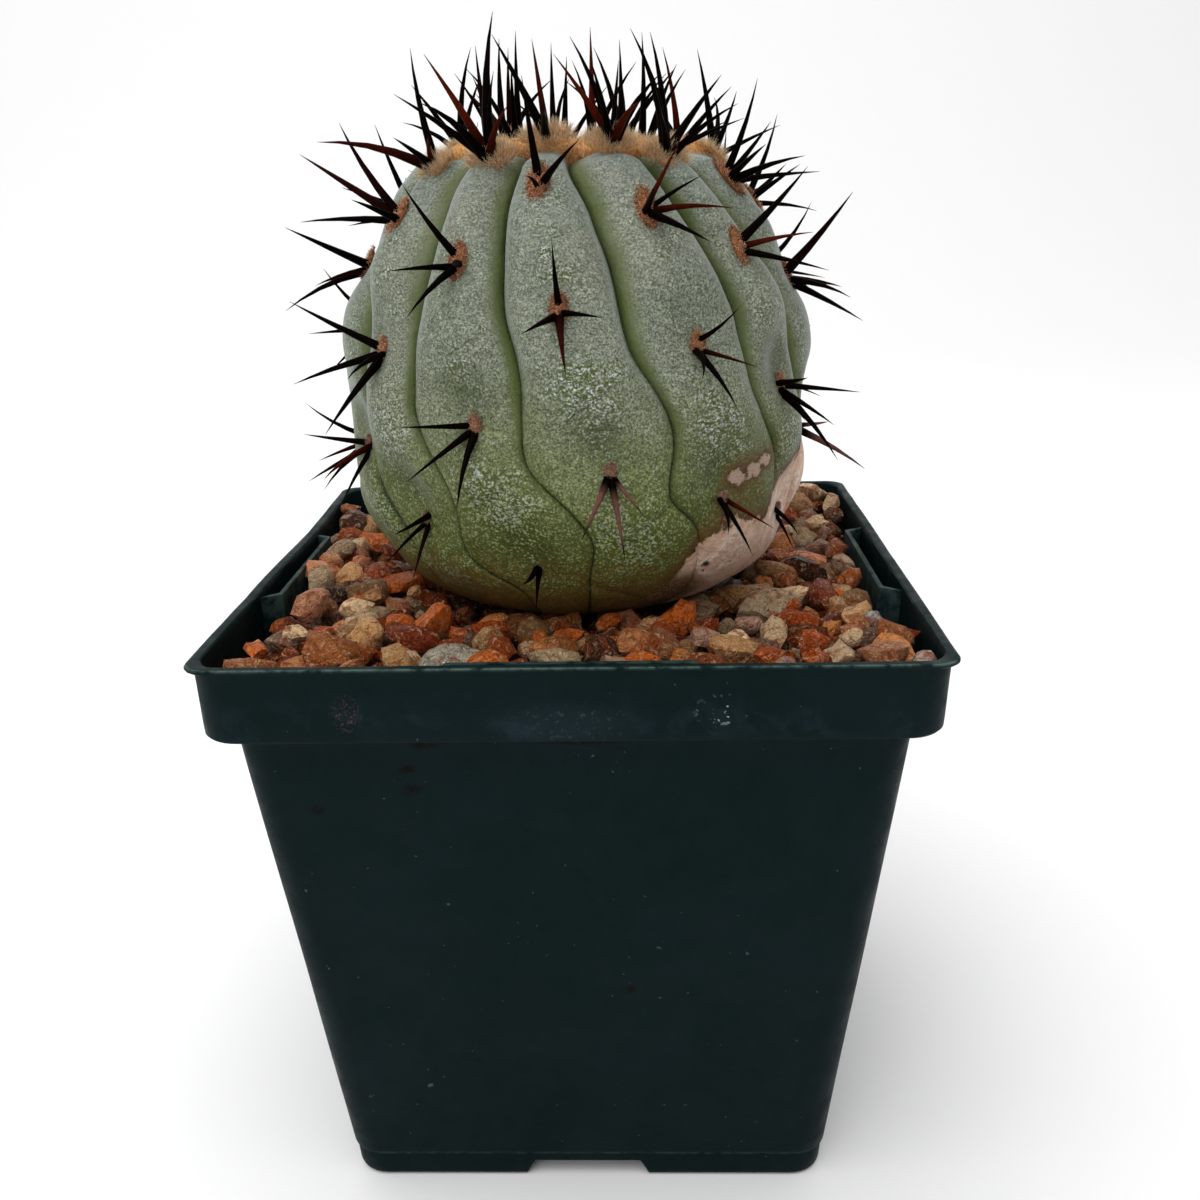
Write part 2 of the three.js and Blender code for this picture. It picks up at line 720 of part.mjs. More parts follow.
// Broken stone: a twenty-sided ball with its corners drawn in or out, then flattened
function stoneSolid(x, y, z, radius, random) {
  const geometry = mergeVertices(bareIcosahedron());
  const position = geometry.attributes.position;
  for (let i = 0; i < position.count; i++) {
    const scale = between(STONE.corner, random);
    position.setXYZ(i, position.getX(i) * scale, position.getY(i) * scale, position.getZ(i) * scale);
  }
  const fullTurn = [0, 2 * Math.PI];
  geometry.rotateX(between(fullTurn, random)).rotateZ(between(fullTurn, random));
  geometry.scale(radius, radius * between(STONE.width, random), radius * STONE.flatness);
  geometry.rotateX(between([-STONE.tilt, STONE.tilt], random)).rotateZ(between(fullTurn, random));
  geometry.translate(x, y, z);
  return solid(geometry);
}

function bareIcosahedron() {
  const geometry = new THREE.IcosahedronGeometry(1, 0);
  geometry.deleteAttribute('normal');
  geometry.deleteAttribute('uv');
  return geometry;
}

// The room that the gravel fills, inside the band of the pot
function gravelRoom(bottom, top) {
  const radius = POT.bodyRadius - POT.wall;
  return squareLoft([
    [bottom, POT.bandFootHalf - POT.wall - GAP, radius],
    [top, POT.bandFootHalf - POT.wall - GAP, radius],
  ]);
}

// The plant's foot with clearance all round, for the gravel to close round it
function plantClearance() {
  const { grow, drop, sides, heights } = FOOT_ROOM;
  const bottom = GRAVEL.bottom - 1;
  const rings = [ring(ROOT.rings[0][1] + grow, bottom, sides)];
  for (const height of heights) {
    rings.push(ring(outlineAt(turnAt(height)).radius + grow, height - drop, sides));
  }
  const top = heights[heights.length - 1] - drop;
  return solid(stack(rings, new THREE.Vector3(0, 0, bottom), new THREE.Vector3(0, 0, top)));
}

function tabClearance() {
  const geometry = prism(tabOutline(GAP), POT.height);
  geometry.translate(0, 0, GRAVEL.bottom - 1);
  return fourSides(geometry);
}

// Stones on a grid over the whole surface, heaped towards the plant
function bedStones(random) {
  const { pitch, stray, mound, collar, unevenness } = GRAVEL;
  const reach = POT.bandFootHalf - POT.wall - GAP - STONE.radius[0];
  const cells = Math.round((2 * reach) / pitch);
  const aside = [-stray / 2, stray / 2];
  const stones = [];
  for (let row = 0; row <= cells; row++) {
    for (let column = 0; column <= cells; column++) {
      const x = -reach + (2 * reach * column) / cells + between(aside, random);
      const y = -reach + (2 * reach * row) / cells + between(aside, random);
      const away = Math.hypot(x, y);
      const heap = mound.rise * Math.max(0, 1 - (away - mound.from) / mound.over);
      const z = GRAVEL.stoneCentre + heap + unevenness * (random() - 0.5);
      const radius = between(STONE.radius, random);
      if (away > collar.radius + collar.reach) stones.push(stoneSolid(x, y, z, radius, random));
    }
  }
  return stones;
}

// Ring of stones that closes round the plant's foot
function collarStones(random) {
  const { collar, mound, stoneCentre } = GRAVEL;
  return Array.from({ length: collar.stones }, (_, index) => {
    const angle = ((index + 0.4 * random()) / collar.stones) * 2 * Math.PI;
    const away = collar.radius + collar.unevenness * (random() - 0.5);
    const z = stoneCentre + mound.rise * random();
    return stoneSolid(away * Math.sin(angle), away * Math.cos(angle), z, STONE.radius[0], random);
  });
}

function gravelSolid() {
  const random = makeRandom(GRAVEL.seed);
  const bed = gravelRoom(GRAVEL.bottom, GRAVEL.bedTop);
  const heap = joined([bed, ...bedStones(random), ...collarStones(random)]);
  const room = gravelRoom(GRAVEL.bottom, POT.height + POT.wall);
  return mainBody(heap.intersect(room).subtract(joined([plantClearance(), tabClearance()])));
}

// Scene graph

const FINISHES = {
  pot: { color: 0x17292b, roughness: 0.42, metalness: 0 },
  potting_soil: { color: 0x3b2b20, roughness: 0.95, metalness: 0 },
  gravel: { color: 0xa86c44, roughness: 0.7, metalness: 0 },
  cactus: { color: 0x86988a, roughness: 0.6, metalness: 0 },
  crown_wool: { color: 0xc79c68, roughness: 0.95, metalness: 0 },
};

function piece(name, manifold) {
  const mesh = new THREE.Mesh(geometryOf(manifold), new THREE.MeshStandardMaterial(FINISHES[name]));
  mesh.name = name;
  return mesh;
}

const group = new THREE.Group();
group.add(piece('pot', potSolid()));
group.add(piece('potting_soil', soilSolid()));
group.add(piece('gravel', gravelSolid()));
group.add(piece('cactus', cactusSolid()));
group.add(piece('crown_wool', crownWoolSolid()));

export default group;
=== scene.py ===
"""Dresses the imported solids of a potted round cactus: waxy ribbed skin, felt and spines, crown
wool, gravel, pot and stage. Sizes here are millimetres; Blender's own unit is the metre.
Angles round the plant are in degrees, 0 at the front and growing towards +X."""

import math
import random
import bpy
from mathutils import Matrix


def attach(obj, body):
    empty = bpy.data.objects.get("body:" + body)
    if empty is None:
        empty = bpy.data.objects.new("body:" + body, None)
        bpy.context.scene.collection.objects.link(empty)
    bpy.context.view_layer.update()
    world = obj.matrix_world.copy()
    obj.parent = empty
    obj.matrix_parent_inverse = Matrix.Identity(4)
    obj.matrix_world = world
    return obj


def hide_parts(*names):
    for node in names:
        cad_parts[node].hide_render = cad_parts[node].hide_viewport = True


bl_info = {
    "name": "Potted Round Cactus",
    "version": (1, 0, 0),
    "blender": (4, 5, 0),
    "location": "3D View > Sidebar > Cactus",
    "description": "Builds the visible skin, spines, wool, gravel and pot over the packed solids",
    "category": "Object",
}

import bmesh
import bpy
from bpy.props import FloatProperty, FloatVectorProperty, IntProperty, PointerProperty
from mathutils import Matrix, Vector, noise

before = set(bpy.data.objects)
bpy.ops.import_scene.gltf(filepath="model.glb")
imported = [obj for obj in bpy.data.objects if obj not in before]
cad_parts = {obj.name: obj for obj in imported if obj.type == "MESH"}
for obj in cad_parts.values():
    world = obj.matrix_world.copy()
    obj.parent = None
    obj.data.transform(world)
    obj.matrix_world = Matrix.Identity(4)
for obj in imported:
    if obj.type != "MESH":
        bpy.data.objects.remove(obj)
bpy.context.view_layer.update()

MM = 0.001
UP = Vector((0, 0, 1))

# Plant: two superellipse quarters that meet at the belt; the hollow crown and the root as
# (radius, rise above the brim) and (radius, height)
PLANT_RADIUS = 40.6
BELT = 134.8
CROWN_RISE = 47.9
CROWN_FULLNESS = 2.23
BASE_DROP = 36.8
BASE_FULLNESS = 2.77
HOLLOW_RADIUS = 25
HOLLOW = ((20, 1.0), (13, 0.6), (6, -0.6), (0, -1.2))
SKIN_FOOT = 99.4
ROOT = ((0, 65), (4.6, 74), (7, 86), (9, 94), (11, 98.6))

# Rib crests in degrees at four levels from the crown down: the front ribs, left to right
RIB_COUNT = 13
LEVEL_TOP = 176
LEVEL_STEP = 22
FRONT_RIBS = (
    (-82, -78, -63, -52),
    (-59, -54, -46, -34),
    (-29, -27, -20, -9),
    (-9, -2, 8, 16),
    (19, 29, 35, 43),
    (39, 55, 62, 70),
    (64, 81, 85, 92),
)
GROOVE_TOP = 178
GROOVE_STEP = 18
GROOVE_DEPTHS = (3.0, 4.2, 2.2, 0.8, 0.4)
GROOVE_SWAY = 1.3
GROOVE_SWAY_LENGTH = 8
# The ribs' flanks grow fuller below this height and over this drop
NARROW_FROM = 168
NARROW_OVER = 34
LOW_FULLNESS = 3.8
# How full the flanks of each front rib are near the crown, as (left, right), and the ribs behind
FULLNESS = ((2, 2), (2, 1.6), (2.4, 1.4), (3.2, 3.2), (1.5, 2.4), (1.6, 2.2), (1.8, 2))
BACK_FULLNESS = (2, 2)
# How green those flanks are, in the same order; the others keep their pale wax
GREENNESS = ((0.3, 1), (0.2, 1), (0.15, 1), (0.3, 0.2), (1, 0.1), (1, 0.2), (1, 0.3))
CREASE_DEPTH = 0.55
CREASE_WIDTH = 0.3
CREASE_FOOT = 97
CREASE_FOOT_RUN = 6
FOLD_DEPTH = 0.35
FOLD_WIDTH = 0.5
FOLD_FADE = 2.5
# Lumps of the skin as (scale per mm, depth)
LUMPS = ((0.07, 0.5), (0.2, 0.22))
# Crests at their areoles: a notch, a dip above the older ones and a swelling below. The dip
# starts with areoles lower than the first of its ages and is full at the second
CREST_REACH = 6
NOTCH_DEPTH = 1.1
NOTCH_REACH = 5
DIP_DEPTH = 1.9
DIP_REACH = 5.5
DIP_ABOVE = 5
DIP_AGES = (172, 150)
SWELL = 0.8
SWELL_REACH = 6.5
SWELL_BELOW = 9
# Lines of the creases after the front ribs as (height, degrees), from the gravel up
CREASES = (
    ((105, -45), (112, -44.5), (119, -48), (121, -52), (125, -55), (135, -59), (145, -61),
     (155, -65), (165, -68), (176, -70)),
    ((105, -13), (108, -14), (110.5, -20), (113, -26), (116, -28), (121, -27.5), (125, -28.5),
     (129, -31.5), (133, -36), (137, -39), (148, -40), (156, -40.5), (168, -42), (176, -43)),
    ((106, 4.5), (112, 4.3), (116, 5.6), (118.5, 5), (121.5, 2), (125, -2.6), (127.5, -7),
     (131, -10.4), (143, -10.6), (148.5, -12.7), (151.5, -15), (156, -16.6), (170, -18.5),
     (176, -18)),
    ((105, 36), (112, 34), (119.5, 31), (123, 23.5), (126, 22.6), (132.5, 24.5), (135.5, 24),
     (139, 22), (142.5, 19), (146, 15.4), (150, 13.8), (158, 12.5), (162, 11.3), (166.5, 8.6),
     (170, 7), (174, 1.5), (176, 0)),
    ((106, 59), (118, 57.5), (127, 57), (130, 55.5), (135, 51), (140, 47.2), (145, 46),
     (153, 46), (160, 42.5), (167, 38), (176, 31)),
    ((110, 80), (132, 73), (145, 70), (155, 67), (165, 61), (176, 50)),
)
CREST_CLEAR = 4
CREASE_SOFTNESS = 1.6

# Masks for the skin's material: rough patches below the areoles, painted shade in the hollows
# above the old ones, green flanks and a painted sheen on the edges beside the creases. Pairs are
# where a mask starts and is full
PATCH_BELOW = 11
PATCH_REACH = 6
PATCH_LEAST = 0.45
PATCH_AGES = (162, 152)
SHADE_ABOVE = 5.5
SHADE_TALL = 4
SHADE_WIDE = 4.5
SHADE_AGES = (150, 138)
VALLEY_FALLS = (0.25, 0.8)
VALLEY_HEIGHTS = (112, 150)
SHEEN_HEIGHTS = (136, 152)
SHEEN_PLACE = 1
SHEEN_WIDTH = 0.7

# Areoles of the front ribs from the top down, as (height, spines); a spine is
# (turn, lean, length), turned clockwise from straight up and leaned away from the normal
FRONT_AREOLES = (
    (
        (158, ((80, 35, 17), (125, 50, 11), (170, 45, 15))),
        (130, ((-85, 50, 13), (-130, 45, 13), (105, 40, 14), (150, 50, 11))),
    ),
    (
        (174, ((-25, 40, 17), (-150, 40, 17), (120, 45, 12), (95, 60, 11))),
        (166, ((-45, 45, 17), (110, 40, 14), (-130, 45, 15), (-80, 35, 18))),
        (146, ((-60, 45, 16), (-125, 45, 15), (115, 40, 13), (170, 50, 16))),
        (120, ((60, 25, 12), (-145, 35, 9), (160, 40, 10))),
    ),
    (
        (175, ((-60, 25, 16), (-175, 25, 16), (-120, 30, 16), (110, 45, 15), (5, 40, 19),
               (-15, 45, 15), (80, 25, 14))),
        (160, ((-30, 35, 13), (-155, 25, 13), (180, 50, 14), (120, 40, 12))),
        (136, ((-85, 45, 11), (-135, 45, 13), (175, 50, 13))),
        (112, ((40, 15, 10), (5, 35, 11))),
    ),
    (
        (178, ((-15, 50, 14), (-60, 30, 15), (165, 50, 15))),
        (171, ((-10, 40, 14), (110, 35, 14), (180, 30, 7))),
        (153, ((0, 35, 12), (-140, 25, 13), (110, 35, 12), (170, 45, 14))),
        (129, ((-140, 40, 13), (175, 55, 13), (140, 40, 9))),
    ),
    (
        (177, ((-115, 25, 15), (155, 25, 15), (-25, 50, 15), (-60, 45, 14), (15, 50, 11),
               (-175, 40, 15))),
        (167, ((35, 40, 10), (85, 40, 9), (130, 45, 14), (165, 50, 15), (-135, 25, 13))),
        (147, ((20, 25, 10), (130, 30, 10), (-175, 40, 13), (-125, 35, 12))),
        (123, ((125, 40, 9), (175, 40, 10), (-105, 35, 11))),
    ),
    (
        (175, ((-110, 45, 14), (165, 25, 14), (60, 50, 14), (90, 65, 13), (-15, 40, 16),
               (-45, 40, 18), (-80, 35, 14))),
        (161, ((50, 45, 15), (105, 40, 11), (155, 40, 14))),
        (139, ((-75, 45, 12), (105, 35, 13), (-135, 30, 13), (-170, 45, 15))),
        (117, ((-100, 40, 8), (170, 45, 7))),
    ),
    (
        (171, ((25, 35, 15), (-105, 45, 14), (140, 45, 14), (-140, 35, 15), (70, 50, 13))),
        (155, ((-40, 40, 18), (120, 50, 12), (-125, 45, 13), (-165, 45, 14))),
        (129, ((-120, 40, 15), (95, 55, 11))),
    ),
)
# Areoles of the ribs behind: their heights on every other rib, and their spines above a height
BACK_HEIGHTS = ((176, 165, 147, 126), (177, 167, 154, 136, 118))
BACK_STRAY = 2
BACK_FANS = (
    (172.5, ((5, 48, 16), (-62, 50, 13), (66, 50, 13), (178, 28, 12))),
    (160, ((-5, 40, 15), (-85, 48, 13), (80, 45, 13), (175, 42, 13))),
    (124, ((3, 36, 12), (-112, 46, 11), (108, 44, 11), (178, 44, 12))),
    (0, ((178, 40, 10), (-110, 38, 11), (115, 36, 11))),
)
FAN_STRAY = (14, 6, 1.5)
# Areoles above this height are in the wool; the youngest stand in a ring in the hollow
WOOL_AREOLE = 172.5
OLDEST_DROP = 55
HEART_AREOLES = 6
HEART_RADIUS = 13
HEART_RISE = 3.2
HEART_HEIGHT = 180
HEART_SPLAY = 0.25
HEART_SPINES = ((0, 14, 15), (115, 26, 12), (-120, 24, 12))

# Skin mesh: columns on each rib, crowded towards the groove, and rows up the body
RIB_COLUMNS = 30
SKIN_ROWS = 150
CROWDING = 1.6
HOLLOW_ROWS = 14

# Short folds of the skin, as places (degrees, height) that each line runs through
FOLDS = (
    ((23, 123.5), (19, 121.5), (14, 119.4)),
    ((1, 138), (5, 139.8), (9, 142)),
    ((-27, 146.8), (-22, 148.8)),
    ((-19.5, 123.6), (-14.5, 127)),
    ((-3, 163), (1, 164)),
    ((6, 109.5), (13, 107.9), (22, 105.5)),
)
# Upper edge of the corky scar low on the right, as (degrees, height), and the small round
# scars above it, as (degrees, height, half width, half height)
SCAR_EDGE = ((20, 103), (24, 107.4), (28.3, 112), (29.5, 115), (32.3, 116.4), (39, 119.5),
             (43.6, 120.3), (48.8, 118.8), (53, 118), (56.2, 120.2), (63.2, 124.4), (68.4, 126.7),
             (74.7, 128.6), (90, 129), (106, 124), (122, 113), (136, 98))
ROUND_SCARS = ((43, 125.5, 2.2, 1.9), (47.8, 126.7, 2.0, 1.4), (50.4, 127.8, 1.8, 1.3))
SCAR_MARGIN = 12
# Distance in mm from which a fold or scar no longer counts
FAR = 9.0

# Pot: half widths between opposite faces, as in the solids, and the corners' radii
POT_HEIGHT = 104.7
BODY_FOOT_HALF = 42.9
BODY_TOP_HALF = 52.3
SEAM_HEIGHT = 5.4
BAND_BOTTOM = 92.4
BAND_FOOT_HALF = 56
LIP_HALF = 56.98
WALL = 1.2
FOOT_HALF = 42.3
FOOT_RING_HALF = 39.9
FOOT_PAD_RADIUS = 20
BODY_CORNER = 5.6
BAND_CORNER = 5.8
LIP_CORNER = 3.8
INNER_CORNER = 4.4
FLOOR_UNDER = 2.4
FLOOR_TOP = 3.8
WALL_LEVELS = 22
CORNER_STEPS = 10
# Places along a side about its foot notch, and steps from there to the corner
SIDE_MARKS = (-12, -11, -9.5, -8, -5, -2, 2, 5, 8, 9.5, 11, 12)
SIDE_STEPS = 7
RING_POINTS = 4 * (len(SIDE_MARKS) + 2 * SIDE_STEPS + CORNER_STEPS - 1)
# Foot notches: half widths at the top and the bottom, and height
FOOT_NOTCH_TOP = 9.5
FOOT_NOTCH_BOTTOM = 11
FOOT_NOTCH_HEIGHT = 3.4
# Drain holes as (x, y, radius)
DRAINS = ((0, 0, 4.5), (30, 0, 3.5), (0, 30, 3.5), (-30, 0, 3.5), (0, -30, 3.5),
          (21, 21, 3.5), (-21, 21, 3.5), (-21, -21, 3.5), (21, -21, 3.5))
DRILL_MIDDLE = 3
DRILL_LENGTH = 4
# Label slots: the strip on each side and its bent ends
TAB_HALF = 18
TAB_RETURN = 2.2
TAB_FACE = 51.6
TAB_THICKNESS = 0.9
TAB_BOTTOM = 93.3
TAB_TOP = 103.7

# Gravel: the room inside the pot's band and the grit bed under the stones
GRAVEL_HALF = 54.4
BED_BOTTOM = 93.95
BED_TOP = 96.4
BED_HOLE = 12.0


class PlantSettings(bpy.types.PropertyGroup):
    """Colours and fineness of the plant"""

    green: FloatVectorProperty(
        name="Green", description="Skin between the ribs and low on the body",
        subtype="COLOR", size=3, min=0, max=1, default=(0.076, 0.092, 0.022))
    bloom: FloatVectorProperty(
        name="Bloom", description="Pale wax on the ribs and the shoulders",
        subtype="COLOR", size=3, min=0, max=1, default=(0.165, 0.187, 0.140))
    cork: FloatVectorProperty(
        name="Cork", description="Corky scar low on one side",
        subtype="COLOR", size=3, min=0, max=1, default=(0.78, 0.50, 0.37))
    spine: FloatVectorProperty(
        name="Spines", description="Dark spines",
        subtype="COLOR", size=3, min=0, max=1, default=(0.0022, 0.0009, 0.0008))
    young_spine: FloatVectorProperty(
        name="Red spines", description="The redder, more translucent spines",
        subtype="COLOR", size=3, min=0, max=1, default=(0.070, 0.0075, 0.0022))
    wool: FloatVectorProperty(
        name="Wool", description="Wool of the crown near the skin",
        subtype="COLOR", size=3, min=0, max=1, default=(0.84, 0.42, 0.150))
    wool_tip: FloatVectorProperty(
        name="Wool tips", description="Paler ends of the wool",
        subtype="COLOR", size=3, min=0, max=1, default=(1.0, 0.79, 0.52))
    felt: FloatVectorProperty(
        name="Felt", description="Short felt of the older areoles",
        subtype="COLOR", size=3, min=0, max=1, default=(0.44, 0.165, 0.070))
    wool_fibres: IntProperty(
        name="Wool fibres", description="Fibres over the wool between the tufts",
        default=12500, min=0, max=14000)


class PotSettings(bpy.types.PropertyGroup):
    """Colours and finish of the pot"""

    plastic: FloatVectorProperty(
        name="Plastic", description="Dark green moulded plastic",
        subtype="COLOR", size=3, min=0, max=1, default=(0.0010, 0.0078, 0.0082))
    worn_edge: FloatVectorProperty(
        name="Worn edge", description="Paler plastic on the rim's edge",
        subtype="COLOR", size=3, min=0, max=1, default=(0.075, 0.12, 0.105))
    limescale: FloatVectorProperty(
        name="Limescale", description="Dried water marks on the band",
        subtype="COLOR", size=3, min=0, max=1, default=(0.035, 0.055, 0.07))
    roughness: FloatProperty(
        name="Roughness", description="Roughness of the clean plastic",
        subtype="FACTOR", default=0.45, min=0, max=1)


class GravelSettings(bpy.types.PropertyGroup):
    """Size and spread of the gravel"""

    small: FloatProperty(
        name="Smallest radius", description="Smallest stone radius in metres",
        subtype="DISTANCE", unit="LENGTH", default=1.9 * MM, min=0.0005, max=0.01)
    large: FloatProperty(
        name="Largest radius", description="Largest stone radius in metres",
        subtype="DISTANCE", unit="LENGTH", default=4.3 * MM, min=0.0005, max=0.01)
    seed: IntProperty(
        name="Seed", description="Choice of stones and places", default=7, min=0)


class StageSettings(bpy.types.PropertyGroup):
    """Floor and light"""

    floor: FloatVectorProperty(
        name="Floor", description="Pale floor",
        subtype="COLOR", size=3, min=0, max=1, default=(0.92, 0.92, 0.92))
    sky: FloatProperty(
        name="Sky", description="Strength of the even light from all round", default=0.4, min=0)
    key: FloatProperty(
        name="Key light", description="Power of the large light overhead",
        subtype="POWER", unit="POWER", default=60.0, min=0)
    front: FloatProperty(
        name="Front light", description="Power of the light from the front",
        subtype="POWER", unit="POWER", default=3.0, min=0)


# Curves and draws


def smooth_value(values, level):
    """Smooth curve through evenly spaced values, level 0 being the first of them."""
    x = min(max(level, 0), len(values) - 1)
    k = min(int(math.floor(x)), len(values) - 2)
    a, b, c, d = (values[min(max(i, 0), len(values) - 1)] for i in (k - 1, k, k + 1, k + 2))
    f = x - k
    return b + 0.5 * f * (c - a + f * (2 * a - 5 * b + 4 * c - d + f * (3 * (b - c) + d - a)))


def step(value, low, high):
    """Smooth change from 0 at low to 1 at high, which may be the smaller of the two."""
    share = min(max((value - low) / (high - low), 0), 1)
    return share * share * (3 - 2 * share)


def piecewise(points, x):
    """Straight-line curve through (x, y) points, flat beyond its ends."""
    if x <= points[0][0]:
        return points[0][1]
    for (x0, y0), (x1, y1) in zip(points, points[1:]):
        if x <= x1:
            return y0 + (y1 - y0) * (x - x0) / (x1 - x0)
    return points[-1][1]


def chance(n):
    """A fixed value between -1 and 1 for each whole number."""
    wave = math.sin(n * 12.9898 + 4.1) * 43758.5453
    return 2 * (wave - math.floor(wave)) - 1


def scatter(rng):
    """A direction of any length, drawn evenly all round."""
    return Vector((rng.gauss(0, 1), rng.gauss(0, 1), rng.gauss(0, 1)))


def polar(angle, radius, height):
    """Point in metres at an angle from the front, in radians, and a radius and height in mm."""
    return Vector((radius * math.sin(angle), -radius * math.cos(angle), height)) * MM


# Plant surface


def outline_at(turn):
    """Radius and height of the plant's outline at a turn up from the belt, in radians."""
    up = turn >= 0
    power = 2 / (CROWN_FULLNESS if up else BASE_FULLNESS)
    rise = CROWN_RISE if up else -BASE_DROP
    return PLANT_RADIUS * math.cos(turn) ** power, BELT + rise * abs(math.sin(turn)) ** power


def outline_slope(turn):
    """How far the outline's normal turns up from level, in radians, above the belt."""
    if turn <= 0:
        return 0
    first = outline_at(turn - 0.01)
    second = outline_at(turn + 0.01)
    return math.atan2(first[0] - second[0], second[1] - first[1])


def turn_at(height):
    """The turn at which the outline has a height."""
    up = height >= BELT
    share = (height - BELT) / (CROWN_RISE if up else -BASE_DROP)
    turn = math.asin(min(1, share) ** ((CROWN_FULLNESS if up else BASE_FULLNESS) / 2))
    return turn if up else -turn


def crown_height(radius):
    """Height of the outline's upper half at a radius."""
    share = (radius / PLANT_RADIUS) ** CROWN_FULLNESS
    return BELT + CROWN_RISE * (1 - share) ** (1 / CROWN_FULLNESS)


BRIM = crown_height(HOLLOW_RADIUS)


def crest_angle(rib, height):
    """Angle of a rib's crest; the ribs behind are spread evenly between the outer front ones."""
    level = (LEVEL_TOP - height) / LEVEL_STEP
    rounds, index = divmod(rib, RIB_COUNT)
    last = len(FRONT_RIBS) - 1
    if index <= last:
        return smooth_value(FRONT_RIBS[index], level) + 360 * rounds
    start = smooth_value(FRONT_RIBS[last], level)
    end = smooth_value(FRONT_RIBS[0], level) + 360
    return start + (end - start) * (index - last) / (RIB_COUNT - last) + 360 * rounds


def areole_heights(rib):
    """Heights of a rib's areoles from the top down."""
    if rib < len(FRONT_RIBS):
        return [height for height, _ in FRONT_AREOLES[rib]]
    pattern = BACK_HEIGHTS[rib % 2]
    return [height + BACK_STRAY * chance(rib * 10 + row) for row, height in enumerate(pattern)]


def hump_at(rib, height, aside=0.0):
    """How far a crest sinks at its areoles and swells below them, at a distance from the crest."""
    total = 0
    near = math.exp(-((aside / CREST_REACH) ** 2))
    for areole in areole_heights(rib % RIB_COUNT):
        rise = height - areole
        if areole <= WOOL_AREOLE:
            total -= NOTCH_DEPTH * near * math.exp(-((rise / NOTCH_REACH) ** 2))
        old = step(areole, *DIP_AGES)
        above = (rise - DIP_ABOVE) / DIP_REACH
        total -= DIP_DEPTH * old * near * math.exp(-(above ** 2))
        total += SWELL * near * math.exp(-(((rise + SWELL_BELOW) / SWELL_REACH) ** 2))
    return total


def crease_angle(gap, height, crests):
    """Angle of the crease after a rib: followed in front, halfway between the crests behind."""
    if gap >= len(CREASES):
        sway = GROOVE_SWAY * math.sin(height / GROOVE_SWAY_LENGTH + 2.1 * gap)
        return (crests[gap] + crests[gap + 1]) / 2 + sway
    shifts = (-CREASE_SOFTNESS, 0, CREASE_SOFTNESS)
    angle = sum(piecewise(CREASES[gap], height + shift) for shift in shifts) / len(shifts)
    return min(max(angle, crests[gap] + CREST_CLEAR), crests[gap + 1] - CREST_CLEAR)


def groove_depth(height):
    """Depth of the grooves between the ribs."""
    return smooth_value(GROOVE_DEPTHS, (GROOVE_TOP - height) / GROOVE_STEP)


class SkinRow:
    """What all the points of one row of the skin share; slope is the normal's turn upwards."""

    def __init__(self, radius, height, slope=0.0):
        self.radius = radius
        self.height = height
        self.slope = slope
        self.crests = [crest_angle(rib, height) for rib in range(RIB_COUNT + 1)]
        self.creases = [crease_angle(gap, height, self.crests) for gap in range(RIB_COUNT)]
        self.depth = groove_depth(height)
        narrowing = min(max((NARROW_FROM - height) / NARROW_OVER, 0), 1)
        self.powers = [self.flanks(rib, narrowing) for rib in range(RIB_COUNT)]
        self.near_crown = min(1, radius / HOLLOW_RADIUS)

    @staticmethod
    def flanks(rib, narrowing):
        """Fullness of a rib's two flanks, which grow alike further down."""
        sides = FULLNESS[rib] if rib < len(FULLNESS) else BACK_FULLNESS
        return [full + (LOW_FULLNESS - full) * narrowing for full in sides]


def rib_share(column):
    """Whole rib before a column, and the share of the way to the next crest."""
    rib, step_in = divmod(column, RIB_COLUMNS)
    half = RIB_COLUMNS / 2
    if step_in <= half:
        return rib, 0.5 * (1 - (1 - step_in / half) ** CROWDING)
    return rib, 1 - 0.5 * (1 - (1 - (RIB_COLUMNS - step_in) / half) ** CROWDING)


def fold_marks(angle, radius, height):
    """Signed distance in mm to the nearest fold line, and how far the fold counts there."""
    best = (FAR, 0.0)
    for line in FOLDS:
        last = len(line) - 2
        for index, ((a0, h0), (a1, h1)) in enumerate(zip(line, line[1:])):
            x = math.radians(angle - a0) * radius
            y = height - h0
            run = Vector((math.radians(a1 - a0) * radius, h1 - h0))
            length = run.length
            run /= length
            along = x * run.x + y * run.y
            aside = x * run.y - y * run.x
            before = FOLD_FADE if index == 0 else 0
            beyond = FOLD_FADE if index == last else 0
            if -before <= along <= length + beyond and abs(aside) < abs(best[0]):
                start = step(along, -before, 2) if before else 1
                end = 1 - step(along, length - 2, length + beyond) if beyond else 1
                best = (aside, min(start, end))
    return best


def scar_mark(angle, radius, height):
    """Positive inside the corky scar and below zero outside, in mm from its edge."""
    inside = -FAR
    if SCAR_EDGE[0][0] - SCAR_MARGIN < angle < SCAR_EDGE[-1][0] + SCAR_MARGIN:
        inside = piecewise(SCAR_EDGE, angle) - height
        inside = min(inside, math.radians(angle - SCAR_EDGE[0][0]) * radius + 1)
    for at, level, wide, tall in ROUND_SCARS:
        x = math.radians(angle - at) * radius / wide
        y = (height - level) / tall
        inside = max(inside, 2.2 * (1 - math.hypot(x, y)) * min(wide, tall))
    return max(inside, -FAR)


def areole_masks(rib, height, aside):
    """How rough the skin is below a rib's areoles, and how much shade is painted in the hollows
    above them.
    """
    rough = 0
    dark = 0
    for areole in areole_heights(rib):
        below = (areole - PATCH_BELOW - height) / PATCH_REACH
        clear = PATCH_LEAST + (1 - PATCH_LEAST) * step(areole, *PATCH_AGES)
        rough = max(rough, clear * math.exp(-(below ** 2) - (aside / PATCH_REACH) ** 2))
        above = (height - areole - SHADE_ABOVE) / SHADE_TALL
        old = step(areole, *SHADE_AGES)
        dark = max(dark, old * math.exp(-(above ** 2) - (aside / SHADE_WIDE) ** 2))
    return rough, dark


